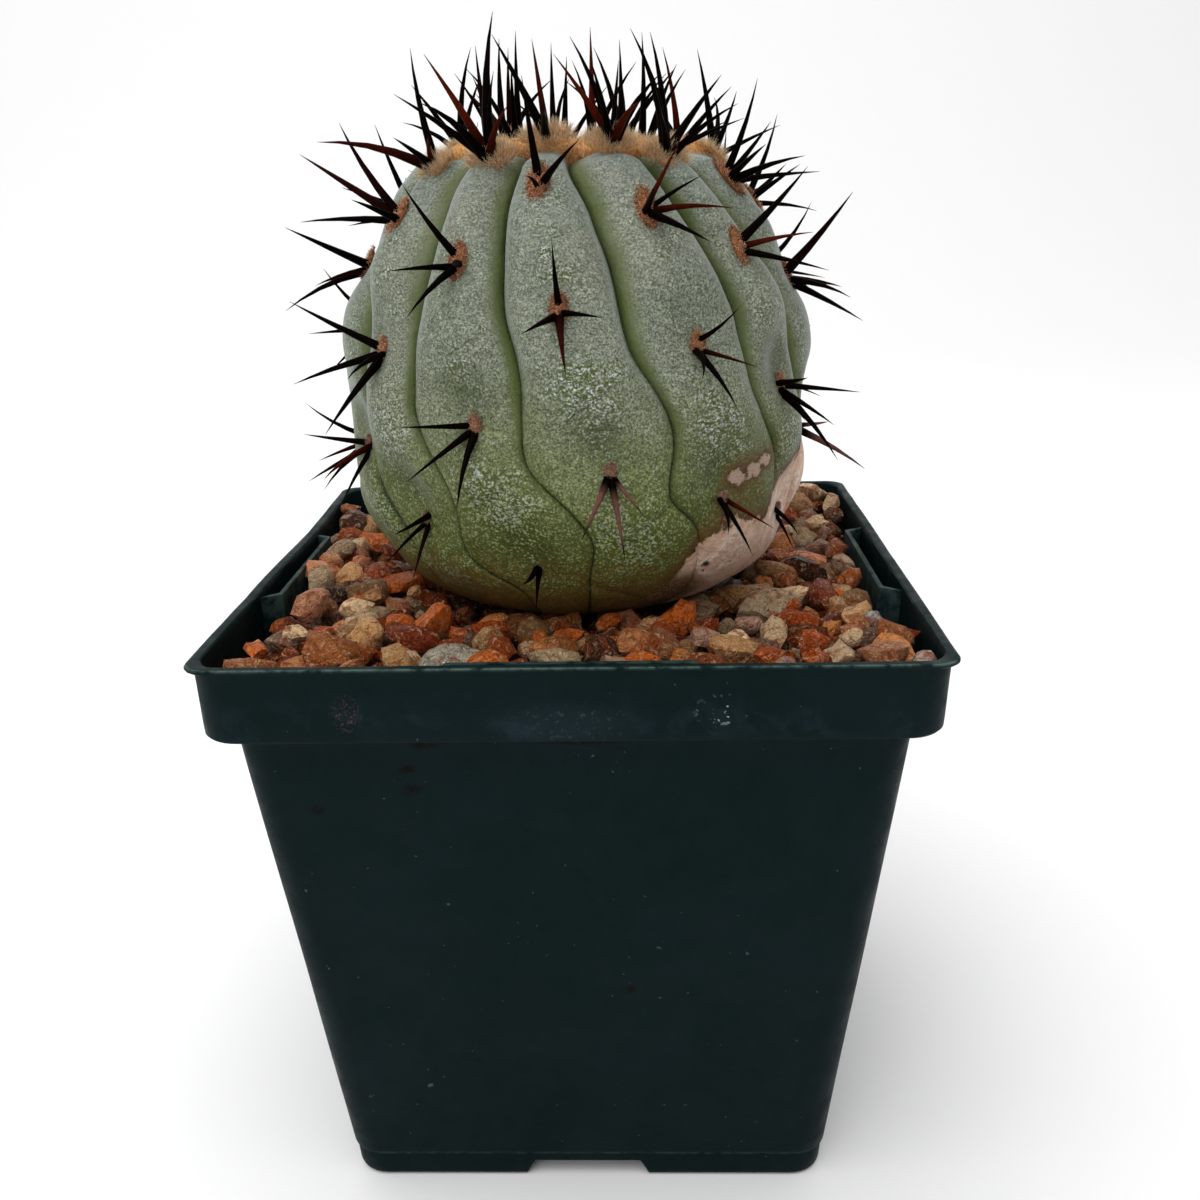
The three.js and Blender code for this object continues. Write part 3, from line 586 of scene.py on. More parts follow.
# What each point of the skin carries for its material
SKIN_MARKS = ("valley", "edge", "fold", "fold_share", "scar", "rough_patch", "hollow", "sheen")


def skin_point(row, column):
    """Point of the skin, with the marks that its material reads."""
    before, share = rib_share(column)
    # The right flank of the rib before, or the left flank of the next one
    flank = 1 if share <= 0.5 else 0
    nearest = before + 1 - flank
    crease = row.creases[before]
    crest = row.crests[nearest]
    off = 2 * min(share, 1 - share)
    angle = crest + (crease - crest) * off
    signed = angle if angle < 180 else angle - 360
    nearest %= RIB_COUNT
    half = math.radians(abs(crease - crest)) * row.radius
    aside = off * half
    edge = (1 - off) * half
    fall = off ** row.powers[nearest][flank]

    line = math.exp(-((edge / CREASE_WIDTH) ** 2))
    low = min(1, max(0, (row.height - CREASE_FOOT) / CREASE_FOOT_RUN))
    fold, fold_share = fold_marks(signed, row.radius, row.height)
    sink = row.depth * fall + CREASE_DEPTH * line * low
    sink += FOLD_DEPTH * fold_share * math.exp(-((fold / FOLD_WIDTH) ** 2))
    turned_by = math.radians(angle)
    place = polar(turned_by, row.radius, row.height)
    lumps = sum(noise.noise(place / MM * scale) * depth for scale, depth in LUMPS)
    hump = hump_at(nearest, row.height, aside)
    relief = (hump - sink + lumps * (1 - line)) * row.near_crown
    place += polar(turned_by, relief * math.cos(row.slope), relief * math.sin(row.slope))

    # dark is painted shade for the hollows above the old areoles, carried by the hollow mark
    rough, dark = areole_masks(nearest, row.height, aside)
    greenness = GREENNESS[nearest][flank] if nearest < len(GREENNESS) else 1
    valley = greenness * step(fall, *VALLEY_FALLS) * step(row.height, *VALLEY_HEIGHTS)
    # Painted sheen: a pale strip beside the creases on the flanks that keep their wax
    beside = (edge - SHEEN_PLACE) / SHEEN_WIDTH
    sheen = (1 - greenness) * step(row.height, *SHEEN_HEIGHTS) * math.exp(-(beside ** 2))
    scar = scar_mark(signed, row.radius, row.height)
    return place, (valley, edge, fold, fold_share, scar, rough, dark, sheen)


def skin_rows():
    """Root, ribbed body and crown hollow, from the root's tip up and in to the middle."""
    rows = [SkinRow(radius, height) for radius, height in ROOT]
    lowest = turn_at(SKIN_FOOT)
    highest = turn_at(BRIM)
    for k in range(SKIN_ROWS + 1):
        turn = lowest + (highest - lowest) * k / SKIN_ROWS
        radius, height = outline_at(turn)
        rows.append(SkinRow(radius, height, outline_slope(turn)))
    for k in range(1, HOLLOW_ROWS + 1):
        radius = HOLLOW_RADIUS * (1 - k / HOLLOW_ROWS)
        rise = piecewise([*reversed(HOLLOW), (HOLLOW_RADIUS, 0)], radius)
        slope = outline_slope(highest) + (math.pi / 2 - outline_slope(highest)) * min(1, k / 4)
        rows.append(SkinRow(radius, BRIM + rise, slope))
    return rows


# Areoles and spines


def areole_frame(rib, height):
    """Point, outward normal, up the rib and sideways at an areole; directions have length 1."""
    angle = math.radians(crest_angle(rib, height))
    radius = outline_at(turn_at(height))[0]
    reach = 0.4
    above = outline_at(turn_at(height + reach))[0]
    below = outline_at(turn_at(height - reach))[0]
    outward = Vector((math.sin(angle), -math.cos(angle), 0))
    side = Vector((math.cos(angle), math.sin(angle), 0))
    up = (outward * (above - below) + UP * 2 * reach).normalized()
    normal = side.cross(up).normalized()
    point = polar(angle, radius + hump_at(rib, height), height)
    return point, normal, up, side


def heart_frame(index):
    """The same for an areole of the ring in the hollow crown."""
    angle = (index + 0.3) / HEART_AREOLES * 2 * math.pi
    point = polar(angle, HEART_RADIUS, BRIM + HEART_RISE)
    outward = Vector((math.sin(angle), -math.cos(angle), 0))
    side = Vector((math.cos(angle), math.sin(angle), 0))
    normal = (outward * HEART_SPLAY + UP).normalized()
    return point, normal, normal.cross(side), side


def back_spines(height, draw):
    """Spines of an areole behind: the fan for its height, each strayed a little."""
    fan = next(spines for above, spines in BACK_FANS if height > above)
    return [
        tuple(value + FAN_STRAY[i] * chance(draw + 3 * k + i) for i, value in enumerate(spine))
        for k, spine in enumerate(fan)
    ]


def all_areoles():
    """Every areole as (rib, height, spines)."""
    areoles = []
    for rib in range(RIB_COUNT):
        for row, height in enumerate(areole_heights(rib)):
            if rib < len(FRONT_AREOLES):
                spines = FRONT_AREOLES[rib][row][1]
            else:
                spines = back_spines(height, rib * 100 + row * 10)
            areoles.append((rib, height, spines))
    return areoles


# Mesh helpers


def wrapped_sheet(columns, rows, place, marks=()):
    """A grid rolled round the Z axis and closed; place(column, row) gives a point and marks."""
    bm = bmesh.new()
    bmesh.ops.create_grid(bm, x_segments=columns, y_segments=rows, size=1)
    if len(bm.verts) != (columns + 1) * (rows + 1):
        raise RuntimeError(f"the grid has {len(bm.verts)} points")
    layers = [bm.verts.layers.float.new(name) for name in marks]
    for vert in bm.verts:
        column = round((vert.co.x + 1) / 2 * columns) % columns
        row = round((vert.co.y + 1) / 2 * rows)
        vert.co, values = place(column, row)
        for layer, value in zip(layers, values):
            vert[layer] = value
    bmesh.ops.remove_doubles(bm, verts=bm.verts, dist=1e-7)
    bmesh.ops.recalc_face_normals(bm, faces=bm.faces)
    return bm


def marked_mesh(marks):
    """An empty bmesh whose points carry these marks."""
    bm = bmesh.new()
    for name in marks:
        bm.verts.layers.float.new(name)
    return bm


def mesh_from(bm, name):
    """A mesh with the bmesh's shape, which is freed."""
    mesh = bpy.data.meshes.new(name)
    bm.to_mesh(mesh)
    bm.free()
    return mesh


def add_piece(name, bm, material, replaced, sharp_angle=None):
    """Turns a bmesh into a shown piece that rides on the one body."""
    old = bpy.data.objects.get(name)
    if old is not None:
        bpy.data.objects.remove(old)
    mesh = mesh_from(bm, name)
    mesh.shade_smooth()
    if sharp_angle is not None:
        mesh.set_sharp_from_angle(angle=math.radians(sharp_angle))
    mesh.materials.append(material)
    piece = bpy.data.objects.new(name, mesh)
    bpy.context.scene.collection.objects.link(piece)
    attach(piece, "root")
    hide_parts(replaced)


def add_copy(bm, shape, matrix, marks):
    """Adds a moved copy of a small mesh to a bmesh, with the same marks on all its points."""
    copy = shape.copy()
    copy.transform(matrix)
    for name, value in marks.items():
        attribute = copy.attributes[name]
        if attribute.data_type == "FLOAT":
            attribute.data.foreach_set("value", [value] * len(copy.vertices))
        else:
            attribute.data.foreach_set("color", list(value) * len(copy.vertices))
    bm.from_mesh(copy)
    bpy.data.meshes.remove(copy)


def frame_matrix(origin, along, aside, thickness, length):
    """Matrix that lays a unit shape's Z along a direction and its X towards another."""
    z = along.normalized()
    x = (aside - z * aside.dot(z)).normalized()
    y = z.cross(x)
    matrix = Matrix((x * thickness, y * thickness, z * length)).transposed().to_4x4()
    return Matrix.Translation(origin) @ matrix


def drop_meshes(meshes):
    for mesh in meshes:
        bpy.data.meshes.remove(mesh)


def needle_shape(name, sides, rings, bow, marks):
    """Unit needle along Z with a bowed taper; rings are (share of length, share of thickness)."""
    bm = marked_mesh(marks)
    along_layer = bm.verts.layers.float["along"]
    base = bmesh.ops.create_circle(bm, cap_ends=True, segments=sides, radius=1)["verts"]
    face = bm.faces[:][0]
    for vert in base:
        vert.co = Vector((vert.co.x * rings[0][1], vert.co.y * rings[0][1], rings[0][0]))
    for share, thick in rings[1:]:
        grown = bmesh.ops.extrude_face_region(bm, geom=[face])
        verts = [item for item in grown["geom"] if isinstance(item, bmesh.types.BMVert)]
        faces = [item for item in grown["geom"] if isinstance(item, bmesh.types.BMFace)]
        bmesh.ops.delete(bm, geom=[face], context="FACES_ONLY")
        face = faces[0]
        middle = sum((vert.co for vert in verts), Vector()) / len(verts)
        for vert in verts:
            out = (vert.co - middle).normalized()
            vert.co = Vector((out.x * thick, out.y * thick, share))
    for vert in bm.verts:
        share = min(max(vert.co.z, 0), 1)
        vert[along_layer] = share
        vert.co.x += 4 * bow * share * (1 - share)
    bmesh.ops.recalc_face_normals(bm, faces=bm.faces)
    return mesh_from(bm, name)


# Material helpers


def new_material(name):
    """An empty material, in place of an old one of that name, and its node tree."""
    material = bpy.data.materials.get(name)
    if material is not None:
        bpy.data.materials.remove(material)
    material = bpy.data.materials.new(name)
    material.use_nodes = True
    tree = material.node_tree
    tree.nodes.clear()
    return material, tree


def add_node(tree, kind, inputs=None, **settings):
    """Adds a node, sets its settings, and links or sets its inputs."""
    node = tree.nodes.new(kind)
    for key, value in settings.items():
        setattr(node, key, value)
    for key, value in (inputs or {}).items():
        if isinstance(value, bpy.types.NodeSocket):
            tree.links.new(value, node.inputs[key])
        else:
            node.inputs[key].default_value = value
    return node


def surface(tree, colour, roughness, normal=None, **constants):
    """Principled shader and output; constants go on the shader's own sockets."""
    inputs = {"Base Color": colour, "Roughness": roughness}
    if normal is not None:
        inputs["Normal"] = normal
    inputs.update({key.replace("_", " "): value for key, value in constants.items()})
    shader = add_node(tree, "ShaderNodeBsdfPrincipled", inputs)
    add_node(tree, "ShaderNodeOutputMaterial", {"Surface": shader.outputs["BSDF"]})


def object_place(tree, stretch=(1, 1, 1)):
    """Object coordinates in millimetres."""
    coords = add_node(tree, "ShaderNodeTexCoord").outputs["Object"]
    scale = tuple(value / MM for value in stretch)
    return add_node(tree, "ShaderNodeMapping", {"Vector": coords, "Scale": scale}).outputs["Vector"]


def height_of(tree, place):
    return add_node(tree, "ShaderNodeSeparateXYZ", {"Vector": place}).outputs["Z"]


def mark(tree, name, kind="Fac"):
    """A mark that the mesh carries on its points: a value, or a colour with kind Color."""
    return add_node(tree, "ShaderNodeAttribute", attribute_name=name).outputs[kind]


def mottle(tree, place, scale, detail=2.0, roughness=0.5, distortion=0.0):
    """Noise value at a scale per millimetre."""
    return add_node(tree, "ShaderNodeTexNoise", {
        "Vector": place, "Scale": scale, "Detail": detail,
        "Roughness": roughness, "Distortion": distortion,
    }).outputs["Fac"]


def remap(tree, value, low, high, new_low=0.0, new_high=1.0, smooth=True):
    """The value carried from low and high to a new range, which it doesn't leave."""
    return add_node(tree, "ShaderNodeMapRange", {
        "Value": value, "From Min": low, "From Max": high, "To Min": new_low, "To Max": new_high,
    }, interpolation_type="SMOOTHSTEP" if smooth else "LINEAR").outputs["Result"]


def swing(tree, value, reach):
    """A noise value turned into a swing of up to the reach either way."""
    return remap(tree, value, 0.3, 0.7, -reach, reach)


def maths(tree, operation, first, second=None):
    inputs = {0: first}
    if second is not None:
        inputs[1] = second
    return add_node(tree, "ShaderNodeMath", inputs, operation=operation).outputs[0]


def times(tree, value, *others):
    for other in others:
        value = maths(tree, "MULTIPLY", value, other)
    return value


def plus(tree, value, *others):
    for other in others:
        value = maths(tree, "ADD", value, other)
    return value


def blend(tree, factor, first, second, mode="MIX"):
    """Mixes two colours; a plain colour is given as three numbers."""
    def full(colour):
        return colour if isinstance(colour, bpy.types.NodeSocket) else (*colour, 1)

    return add_node(tree, "ShaderNodeMix", {0: factor, 6: full(first), 7: full(second)},
                    data_type="RGBA", blend_type=mode).outputs[2]


def laid_over(tree, colour, mask, share, tone):
    """The colour with a tone laid over it where the mask is, up to a share."""
    return blend(tree, times(tree, mask, share), colour, tone)


def shaded(tree, colour, shade):
    return blend(tree, 1.0, colour, shade, mode="MULTIPLY")


def bump(tree, height, distance):
    """Normal for a relief of that many millimetres."""
    return add_node(tree, "ShaderNodeBump", {
        "Height": height, "Distance": distance * MM, "Strength": 1.0,
    }).outputs["Normal"]


def mask_group(name, numbers):
    """A new node group from a place and some numbers, as (label, default), to a mask."""
    tree = bpy.data.node_groups.new(name, "ShaderNodeTree")
    face = tree.interface
    face.new_socket("Place", in_out="INPUT", socket_type="NodeSocketVector")
    for label, default in numbers:
        socket = face.new_socket(label, in_out="INPUT", socket_type="NodeSocketFloat")
        socket.default_value = default
    face.new_socket("Mask", in_out="OUTPUT", socket_type="NodeSocketFloat")
    return tree, tree.nodes.new("NodeGroupInput").outputs


def speckle_group():
    """Shared effect: irregular specks with soft edges, at a scale per millimetre."""
    name = "Specks"
    if name in bpy.data.node_groups:
        return bpy.data.node_groups[name]
    numbers = (("Scale", 1.0), ("Threshold", 0.6), ("Softness", 0.05), ("Distortion", 1.0))
    tree, given = mask_group(name, numbers)
    value = mottle(tree, given["Place"], given["Scale"], distortion=given["Distortion"])
    high = plus(tree, given["Threshold"], given["Softness"])
    add_node(tree, "NodeGroupOutput", {"Mask": remap(tree, value, given["Threshold"], high)})
    return tree


def specks(tree, place, scale, threshold, softness, distortion):
    """Mask of irregular specks, fewer and smaller for a high threshold."""
    return add_node(tree, "ShaderNodeGroup", {
        "Place": place, "Scale": scale, "Threshold": threshold, "Softness": softness,
        "Distortion": distortion,
    }, node_tree=speckle_group()).outputs["Mask"]


def grain_group():
    """Shared effect: separate round grains, one a cell, at a scale per millimetre."""
    name = "Grains"
    if name in bpy.data.node_groups:
        return bpy.data.node_groups[name]
    tree, given = mask_group(name, (("Scale", 1.0), ("Size", 0.4), ("Share", 0.8)))
    cells = add_node(tree, "ShaderNodeTexVoronoi", {
        "Vector": given["Place"], "Scale": given["Scale"],
    }).outputs
    draw = add_node(tree, "ShaderNodeSeparateColor", {"Color": cells["Color"]}).outputs[0]
    kept = maths(tree, "LESS_THAN", draw, given["Share"])
    dot = remap(tree, cells["Distance"], given["Size"], times(tree, given["Size"], 0.6))
    add_node(tree, "NodeGroupOutput", {"Mask": times(tree, dot, kept)})
    return tree


def grains_at(tree, place, scale, size, share):
    """Mask of separate round grains, in a share of the cells."""
    return add_node(tree, "ShaderNodeGroup", {
        "Place": place, "Scale": scale, "Size": size, "Share": share,
    }, node_tree=grain_group()).outputs["Mask"]


def bent(tree, place, scale, reach):
    """Place pushed about by noise, so that round cells come out irregular."""
    push = add_node(tree, "ShaderNodeTexNoise", {"Vector": place, "Scale": scale, "Detail": 2.0})
    push = add_node(tree, "ShaderNodeVectorMath", {0: push.outputs["Color"], 1: (0.5, 0.5, 0.5)},
                    operation="SUBTRACT")
    push = add_node(tree, "ShaderNodeVectorMath", {0: push.outputs[0], "Scale": reach},
                    operation="SCALE")
    return add_node(tree, "ShaderNodeVectorMath", {0: place, 1: push.outputs[0]}).outputs[0]


def spot(tree, place, centre, size):
    """1 at a centre in mm, falling to 0 at a distance of the size along each axis."""
    away = add_node(tree, "ShaderNodeVectorMath", {0: place, 1: centre}, operation="SUBTRACT")
    share = add_node(tree, "ShaderNodeVectorMath", {0: away.outputs[0], 1: size},
                     operation="DIVIDE")
    length = add_node(tree, "ShaderNodeVectorMath", {0: share.outputs[0]}, operation="LENGTH")
    return remap(tree, length.outputs["Value"], 1, 0.3)


# Skin material: its tones, then places in mm as (centre, size)

LOW_BLOOM = (0.165, 0.188, 0.068)
SHOULDER_BLOOM = (0.215, 0.245, 0.225)
WARM_BLOOM = (0.215, 0.205, 0.150)
VALLEY_GREEN = (0.108, 0.134, 0.046)
PAINTED_HOLLOW_SHADE = (0.044, 0.062, 0.020)
GAP_GREEN = (0.062, 0.080, 0.014)
PATCH_GREEN = (0.058, 0.086, 0.012)
DOT_TONE = (0.42, 0.46, 0.40)
LOW_DOT_TONE = (0.33, 0.38, 0.150)
RICE_TONE = (0.70, 0.74, 0.68)
LOW_RICE_TONE = (0.48, 0.53, 0.35)
RICE_SHADE = (0.20, 0.24, 0.15)
GRAZING_SHEEN_TONE = (0.38, 0.42, 0.40)
SHEEN_TONE = (0.36, 0.41, 0.38)
FOOT_BROWN = (0.150, 0.080, 0.014)
PAINTED_GROOVE_SHADE = (0.048, 0.078, 0.012)
PAINTED_CREASE_SIDE_SHADE = (0.050, 0.075, 0.016)
PAINTED_CREASE_SHADE = (0.012, 0.022, 0.005)
PAINTED_FOLD_SHADE = (0.022, 0.034, 0.01)
OCHRE_WASH = (0.098, 0.064, 0.014)
PALE_CORK = (0.95, 0.80, 0.67)
OCHRE_CORK = (0.50, 0.30, 0.16)
ROUND_SCAR_TONE = (0.40, 0.29, 0.22)
SCAR_RIM = (0.110, 0.055, 0.011)
SCAR_FRECKLE = (0.125, 0.066, 0.016)
SOIL_TONE = (0.105, 0.060, 0.020)
CRUMB_TONE = (0.42, 0.34, 0.24)
PIT_TONE = (0.05, 0.02, 0.01)
SCAR_SOIL = ((13, -27, 106), (12, 10, 9))
ROUND_SCARS_ROOM = ((28, -27, 126.5), (8, 8, 7))
SCAR_PIT = ((21.3, -29.3, 111.6), (1.0, 1.4, 0.9))


class SkinMasks:
    """Noises and masks over the skin that the steps of its material share."""

    def __init__(self, tree):
        self.place = object_place(tree)
        self.height = height_of(tree, self.place)
        self.valley = mark(tree, "valley")
        self.ridge = maths(tree, "SUBTRACT", 1.0, self.valley)
        self.edge = mark(tree, "edge")
        self.broad = mottle(tree, self.place, 0.06, 3, 0.55)
        self.middle = mottle(tree, self.place, 0.35, 3, 0.6)
        self.fine = mottle(tree, self.place, 3.1, 3, 0.8)
        self.wrinkle = mottle(tree, object_place(tree, (0.7, 0.7, 1.9)), 1.1, 3, 0.6, 0.5)
        self.lowness = remap(tree, self.height, 138, 116)
        ragged = plus(tree, mark(tree, "rough_patch"), swing(tree, self.middle, 0.35))
        self.patch = times(tree, remap(tree, ragged, 0.4, 0.8), self.ridge)
        self.fringe = times(tree, remap(tree, ragged, 0.05, 0.5), self.ridge)
        shaken = bent(tree, self.place, 1.3, 0.9)
        self.dots = grains_at(tree, shaken, 1.9, 0.5, 0.8)
        longer = add_node(tree, "ShaderNodeMapping", {"Vector": shaken, "Scale": (1, 1, 1.6)})
        rice = grains_at(tree, longer.outputs["Vector"], 1.35, 0.6, 0.85)
        self.rice = times(tree, rice, remap(tree, self.fine, 0.36, 0.52, 0.15, 1.0))


def waxed(tree, plant, skin):
    """Wax over green: thick on the shoulders, thin low down and in the valleys."""
    wax = plus(tree, remap(tree, skin.height, 108, 150), swing(tree, skin.broad, 0.2),
               swing(tree, skin.middle, 0.2))
    wax = maths(tree, "SUBTRACT", wax, times(tree, skin.valley, 0.75))
    bloom = blend(tree, remap(tree, skin.height, 150, 118), tuple(plant.bloom), LOW_BLOOM)
    colour = blend(tree, remap(tree, wax, -0.15, 1.0), tuple(plant.green), bloom)
    shoulder = times(tree, remap(tree, skin.height, 150, 180), skin.ridge)
    colour = laid_over(tree, colour, shoulder, 0.5, SHOULDER_BLOOM)
    warm = times(tree, remap(tree, skin.broad, 0.48, 0.66), remap(tree, skin.height, 125, 140))
    colour = laid_over(tree, colour, warm, 0.35, WARM_BLOOM)
    colour = laid_over(tree, colour, skin.valley, 0.55, VALLEY_GREEN)
    # Painted shade in the hollows above the old areoles
    return laid_over(tree, colour, mark(tree, "hollow"), 0.8, PAINTED_HOLLOW_SHADE)


def frosted(tree, colour, skin):
    """Frost of fine wax, evener in the valleys and near the crown, and wrinkles."""
    evenness = maths(tree, "MAXIMUM", times(tree, skin.valley, 0.8),
                     remap(tree, skin.height, 145, 170, 0, 0.3))
    frost = remap(tree, skin.fine, 0.4, 0.66, 0.4, 2.15, smooth=False)
    frost = add_node(tree, "ShaderNodeMix", {0: evenness, 2: frost, 3: 1.0}).outputs[0]
    colour = shaded(tree, colour, frost)
    streak = remap(tree, skin.wrinkle, 0.36, 0.64, 0.78, 1.22, smooth=False)
    return blend(tree, skin.ridge, colour, shaded(tree, colour, streak))


def grained(tree, colour, skin):
    """Small grains low down, larger ones in the rough patches, and green between them."""
    gaps = plus(tree, times(tree, skin.patch, 1.2), times(tree, skin.lowness, 0.6),
                times(tree, skin.fringe, 0.3))
    gaps = times(tree, gaps, remap(tree, skin.fine, 0.68, 0.4))
    colour = laid_over(tree, colour, gaps, skin.ridge,
                       blend(tree, skin.patch, GAP_GREEN, PATCH_GREEN))
    depth = plus(tree, times(tree, skin.fringe, 0.55), times(tree, skin.lowness, 0.5), 0.12)
    depth = times(tree, depth, skin.ridge, remap(tree, skin.fine, 0.36, 0.56, 0.3, 1.0))
    tone = blend(tree, skin.lowness, DOT_TONE, LOW_DOT_TONE)
    colour = laid_over(tree, colour, skin.dots, depth, tone)
    tone = blend(tree, skin.lowness, RICE_TONE, LOW_RICE_TONE)
    tone = blend(tree, remap(tree, skin.fine, 0.36, 0.58), RICE_SHADE, tone)
    return laid_over(tree, colour, skin.rice, times(tree, skin.patch, 0.9), tone)


def with_painted_sheen(tree, colour, skin):
    """Painted sheen: paler where the skin turns away from the view, and on the edges beside the
    creases.
    """
    # Painted sheen at grazing angles, read from how far the surface faces away from the view
    grazing = add_node(tree, "ShaderNodeLayerWeight", {"Blend": 0.35}).outputs["Facing"]
    clear = maths(tree, "MAXIMUM", remap(tree, skin.edge, 0.8, 2.8),
                  remap(tree, skin.height, 140, 158))
    haze_and_sheen = times(tree, remap(tree, grazing, 0.3, 0.9), remap(tree, skin.height, 112, 140),
                 skin.ridge, clear)
    colour = laid_over(tree, colour, haze_and_sheen, 0.65, GRAZING_SHEEN_TONE)
    # Painted sheen on the edges beside the creases
    sheen = times(tree, mark(tree, "sheen"), remap(tree, skin.fine, 0.3, 0.55, 0.5, 1.0))
    return laid_over(tree, colour, sheen, 0.6, SHEEN_TONE)


def creased(tree, colour, skin):
    """Brown foot, and painted shade in the creases and along the folds."""
    wander = plus(tree, skin.height, swing(tree, skin.middle, 3))
    colour = laid_over(tree, colour, remap(tree, wander, 118, 103), 0.85, FOOT_BROWN)
    # Painted shade: darker towards each crease in the green valleys, and a little beside every
    # crease
    deep = times(tree, remap(tree, skin.edge, 1.8, 0.1), skin.valley)
    colour = laid_over(tree, colour, deep, 0.6, PAINTED_GROOVE_SHADE)
    colour = laid_over(tree, colour, remap(tree, skin.edge, 1.1, 0.1), 0.2, PAINTED_CREASE_SIDE_SHADE)
    # Painted shade as a thin ragged dark line in each crease
    uneven = remap(tree, skin.fine, 0.3, 0.7, -0.16, 0.16, smooth=False)
    line = remap(tree, plus(tree, skin.edge, uneven), 0.26, 0.02)
    colour = laid_over(tree, colour, line, 0.85, PAINTED_CREASE_SHADE)
    # Painted shade along the short folds
    fold = remap(tree, maths(tree, "ABSOLUTE", mark(tree, "fold")), 0.36, 0.05)
    fold = times(tree, fold, mark(tree, "fold_share"),
                 remap(tree, skin.fine, 0.62, 0.4, 0.3, 1.0))
    return laid_over(tree, colour, fold, 0.65, PAINTED_FOLD_SHADE)


def scarred(tree, colour, plant, skin):
    """Corky scar with a brown edge and soil on its lower left, and the cork's own relief."""
    scar = mark(tree, "scar")
    ragged = plus(tree, scar, swing(tree, skin.middle, 1.3), swing(tree, skin.fine, 0.6))
    soil = spot(tree, skin.place, *SCAR_SOIL)
    cork = times(tree, remap(tree, ragged, 0.1, 0.7), remap(tree, soil, 0.15, 0.9, 1, 0.15))
    wash = remap(tree, plus(tree, scar, swing(tree, skin.middle, 2)), -6, -0.5)
    colour = laid_over(tree, colour, wash, remap(tree, skin.fine, 0.62, 0.38, 0.35, 0.85),
                       OCHRE_WASH)
    blotch = mottle(tree, skin.place, 0.5, 4, 0.65, 1.0)
    tone = blend(tree, remap(tree, blotch, 0.36, 0.66), tuple(plant.cork), PALE_CORK)
    tone = blend(tree, remap(tree, scar, 6, 0.8, 0, 0.6), tone, OCHRE_CORK)
    tone = laid_over(tree, tone, spot(tree, skin.place, *ROUND_SCARS_ROOM), 0.85,
                     ROUND_SCAR_TONE)
    colour = blend(tree, cork, colour, tone)
    rim = times(tree, remap(tree, ragged, -1.3, 0.1), remap(tree, ragged, 1.5, 0.4))
    colour = laid_over(tree, colour, rim, 0.85, SCAR_RIM)
    freckles = times(tree, remap(tree, scar, -5.5, -0.5),
                     specks(tree, skin.place, 1.1, 0.52, 0.06, 0.8),
                     remap(tree, cork, 1, 0, 0.12, 1))
    colour = laid_over(tree, colour, freckles, 0.75, SCAR_FRECKLE)
    soiled = times(tree, soil, remap(tree, scar, -3.5, 0.5))
    colour = laid_over(tree, colour, soiled, 0.85, SOIL_TONE)
    colour = laid_over(tree, colour, soiled, times(tree, skin.dots, 0.6), CRUMB_TONE)
    pits = maths(tree, "MAXIMUM", specks(tree, skin.place, 0.45, 0.72, 0.02, 0.4),
                 spot(tree, skin.place, *SCAR_PIT))
    colour = laid_over(tree, colour, pits, cork, PIT_TONE)
    return colour, times(tree, blotch, times(tree, cork, 3))


def skin_material(plant):
    material, tree = new_material("Waxy cactus skin")
    skin = SkinMasks(tree)
    colour = waxed(tree, plant, skin)
    colour = frosted(tree, colour, skin)
    colour = grained(tree, colour, skin)
    colour = with_painted_sheen(tree, colour, skin)
    colour = creased(tree, colour, skin)
    colour, cork_relief = scarred(tree, colour, plant, skin)
    frost_depth = plus(tree, 0.1, times(tree, skin.ridge, 0.35))
    relief = plus(tree, times(tree, skin.rice, times(tree, skin.patch, 0.8)),
                  times(tree, skin.fine, frost_depth), times(tree, skin.wrinkle, skin.ridge),
                  times(tree, skin.middle, 2.4), cork_relief)
    surface(tree, colour, remap(tree, skin.fine, 0.3, 0.7, 0.5, 0.66), bump(tree, relief, 0.18),
            Specular_IOR_Level=0.25)
    return material


# Materials of spines, fibres, stones and potting mix

PALE_SPINE = (0.17, 0.075, 0.06)
GREY_FIBRE = (0.30, 0.22, 0.18)
FELT_TIP = (0.90, 0.50, 0.29)
STONE_RUST = (0.42, 0.070, 0.006)
STONE_VEIN = (0.92, 0.62, 0.36)
STONE_DARK = (0.060, 0.018, 0.007)
MIX_DARK = (0.022, 0.013, 0.008)
MIX_BROWN = (0.10, 0.06, 0.035)
MIX_GRIT = (0.34, 0.27, 0.2)


def spine_material(plant):
    material, tree = new_material("Dark spine")
    along = mark(tree, "along")
    streak = mottle(tree, object_place(tree), 1.2, 2)
    red = times(tree, mark(tree, "redness"), remap(tree, along, -0.2, 0.45))
    colour = blend(tree, red, tuple(plant.spine), tuple(plant.young_spine))
    middle = times(tree, remap(tree, along, 0.1, 0.35), remap(tree, along, 0.95, 0.6))
    colour = laid_over(tree, colour, middle, mark(tree, "pale"), PALE_SPINE)
    colour = shaded(tree, colour, remap(tree, streak, 0.3, 0.7, 0.75, 1.3, smooth=False))
    surface(tree, colour, 0.45, bump(tree, streak, 0.05), Specular_IOR_Level=0.01)
    return material


def fibre_material(name, root_colour, tip_colour):
    material, tree = new_material(name)
    place = object_place(tree)
    colour = blend(tree, remap(tree, mark(tree, "along"), 0.15, 1.0), root_colour, tip_colour)
    colour = blend(tree, mark(tree, "grey"), colour, GREY_FIBRE)
    patch = mottle(tree, place, 0.5, 2)
    strand = mottle(tree, object_place(tree, (1, 1, 0.4)), 3.0, 3, 0.75)
    shade = plus(tree, remap(tree, patch, 0.3, 0.7, 0.85, 1.05), mark(tree, "tone"))
    colour = shaded(tree, colour, shade)
    colour = shaded(tree, colour, remap(tree, strand, 0.36, 0.64, 0.6, 1.2))
    surface(tree, colour, 0.9, bump(tree, strand, 0.3), Specular_IOR_Level=0.1)
    return material


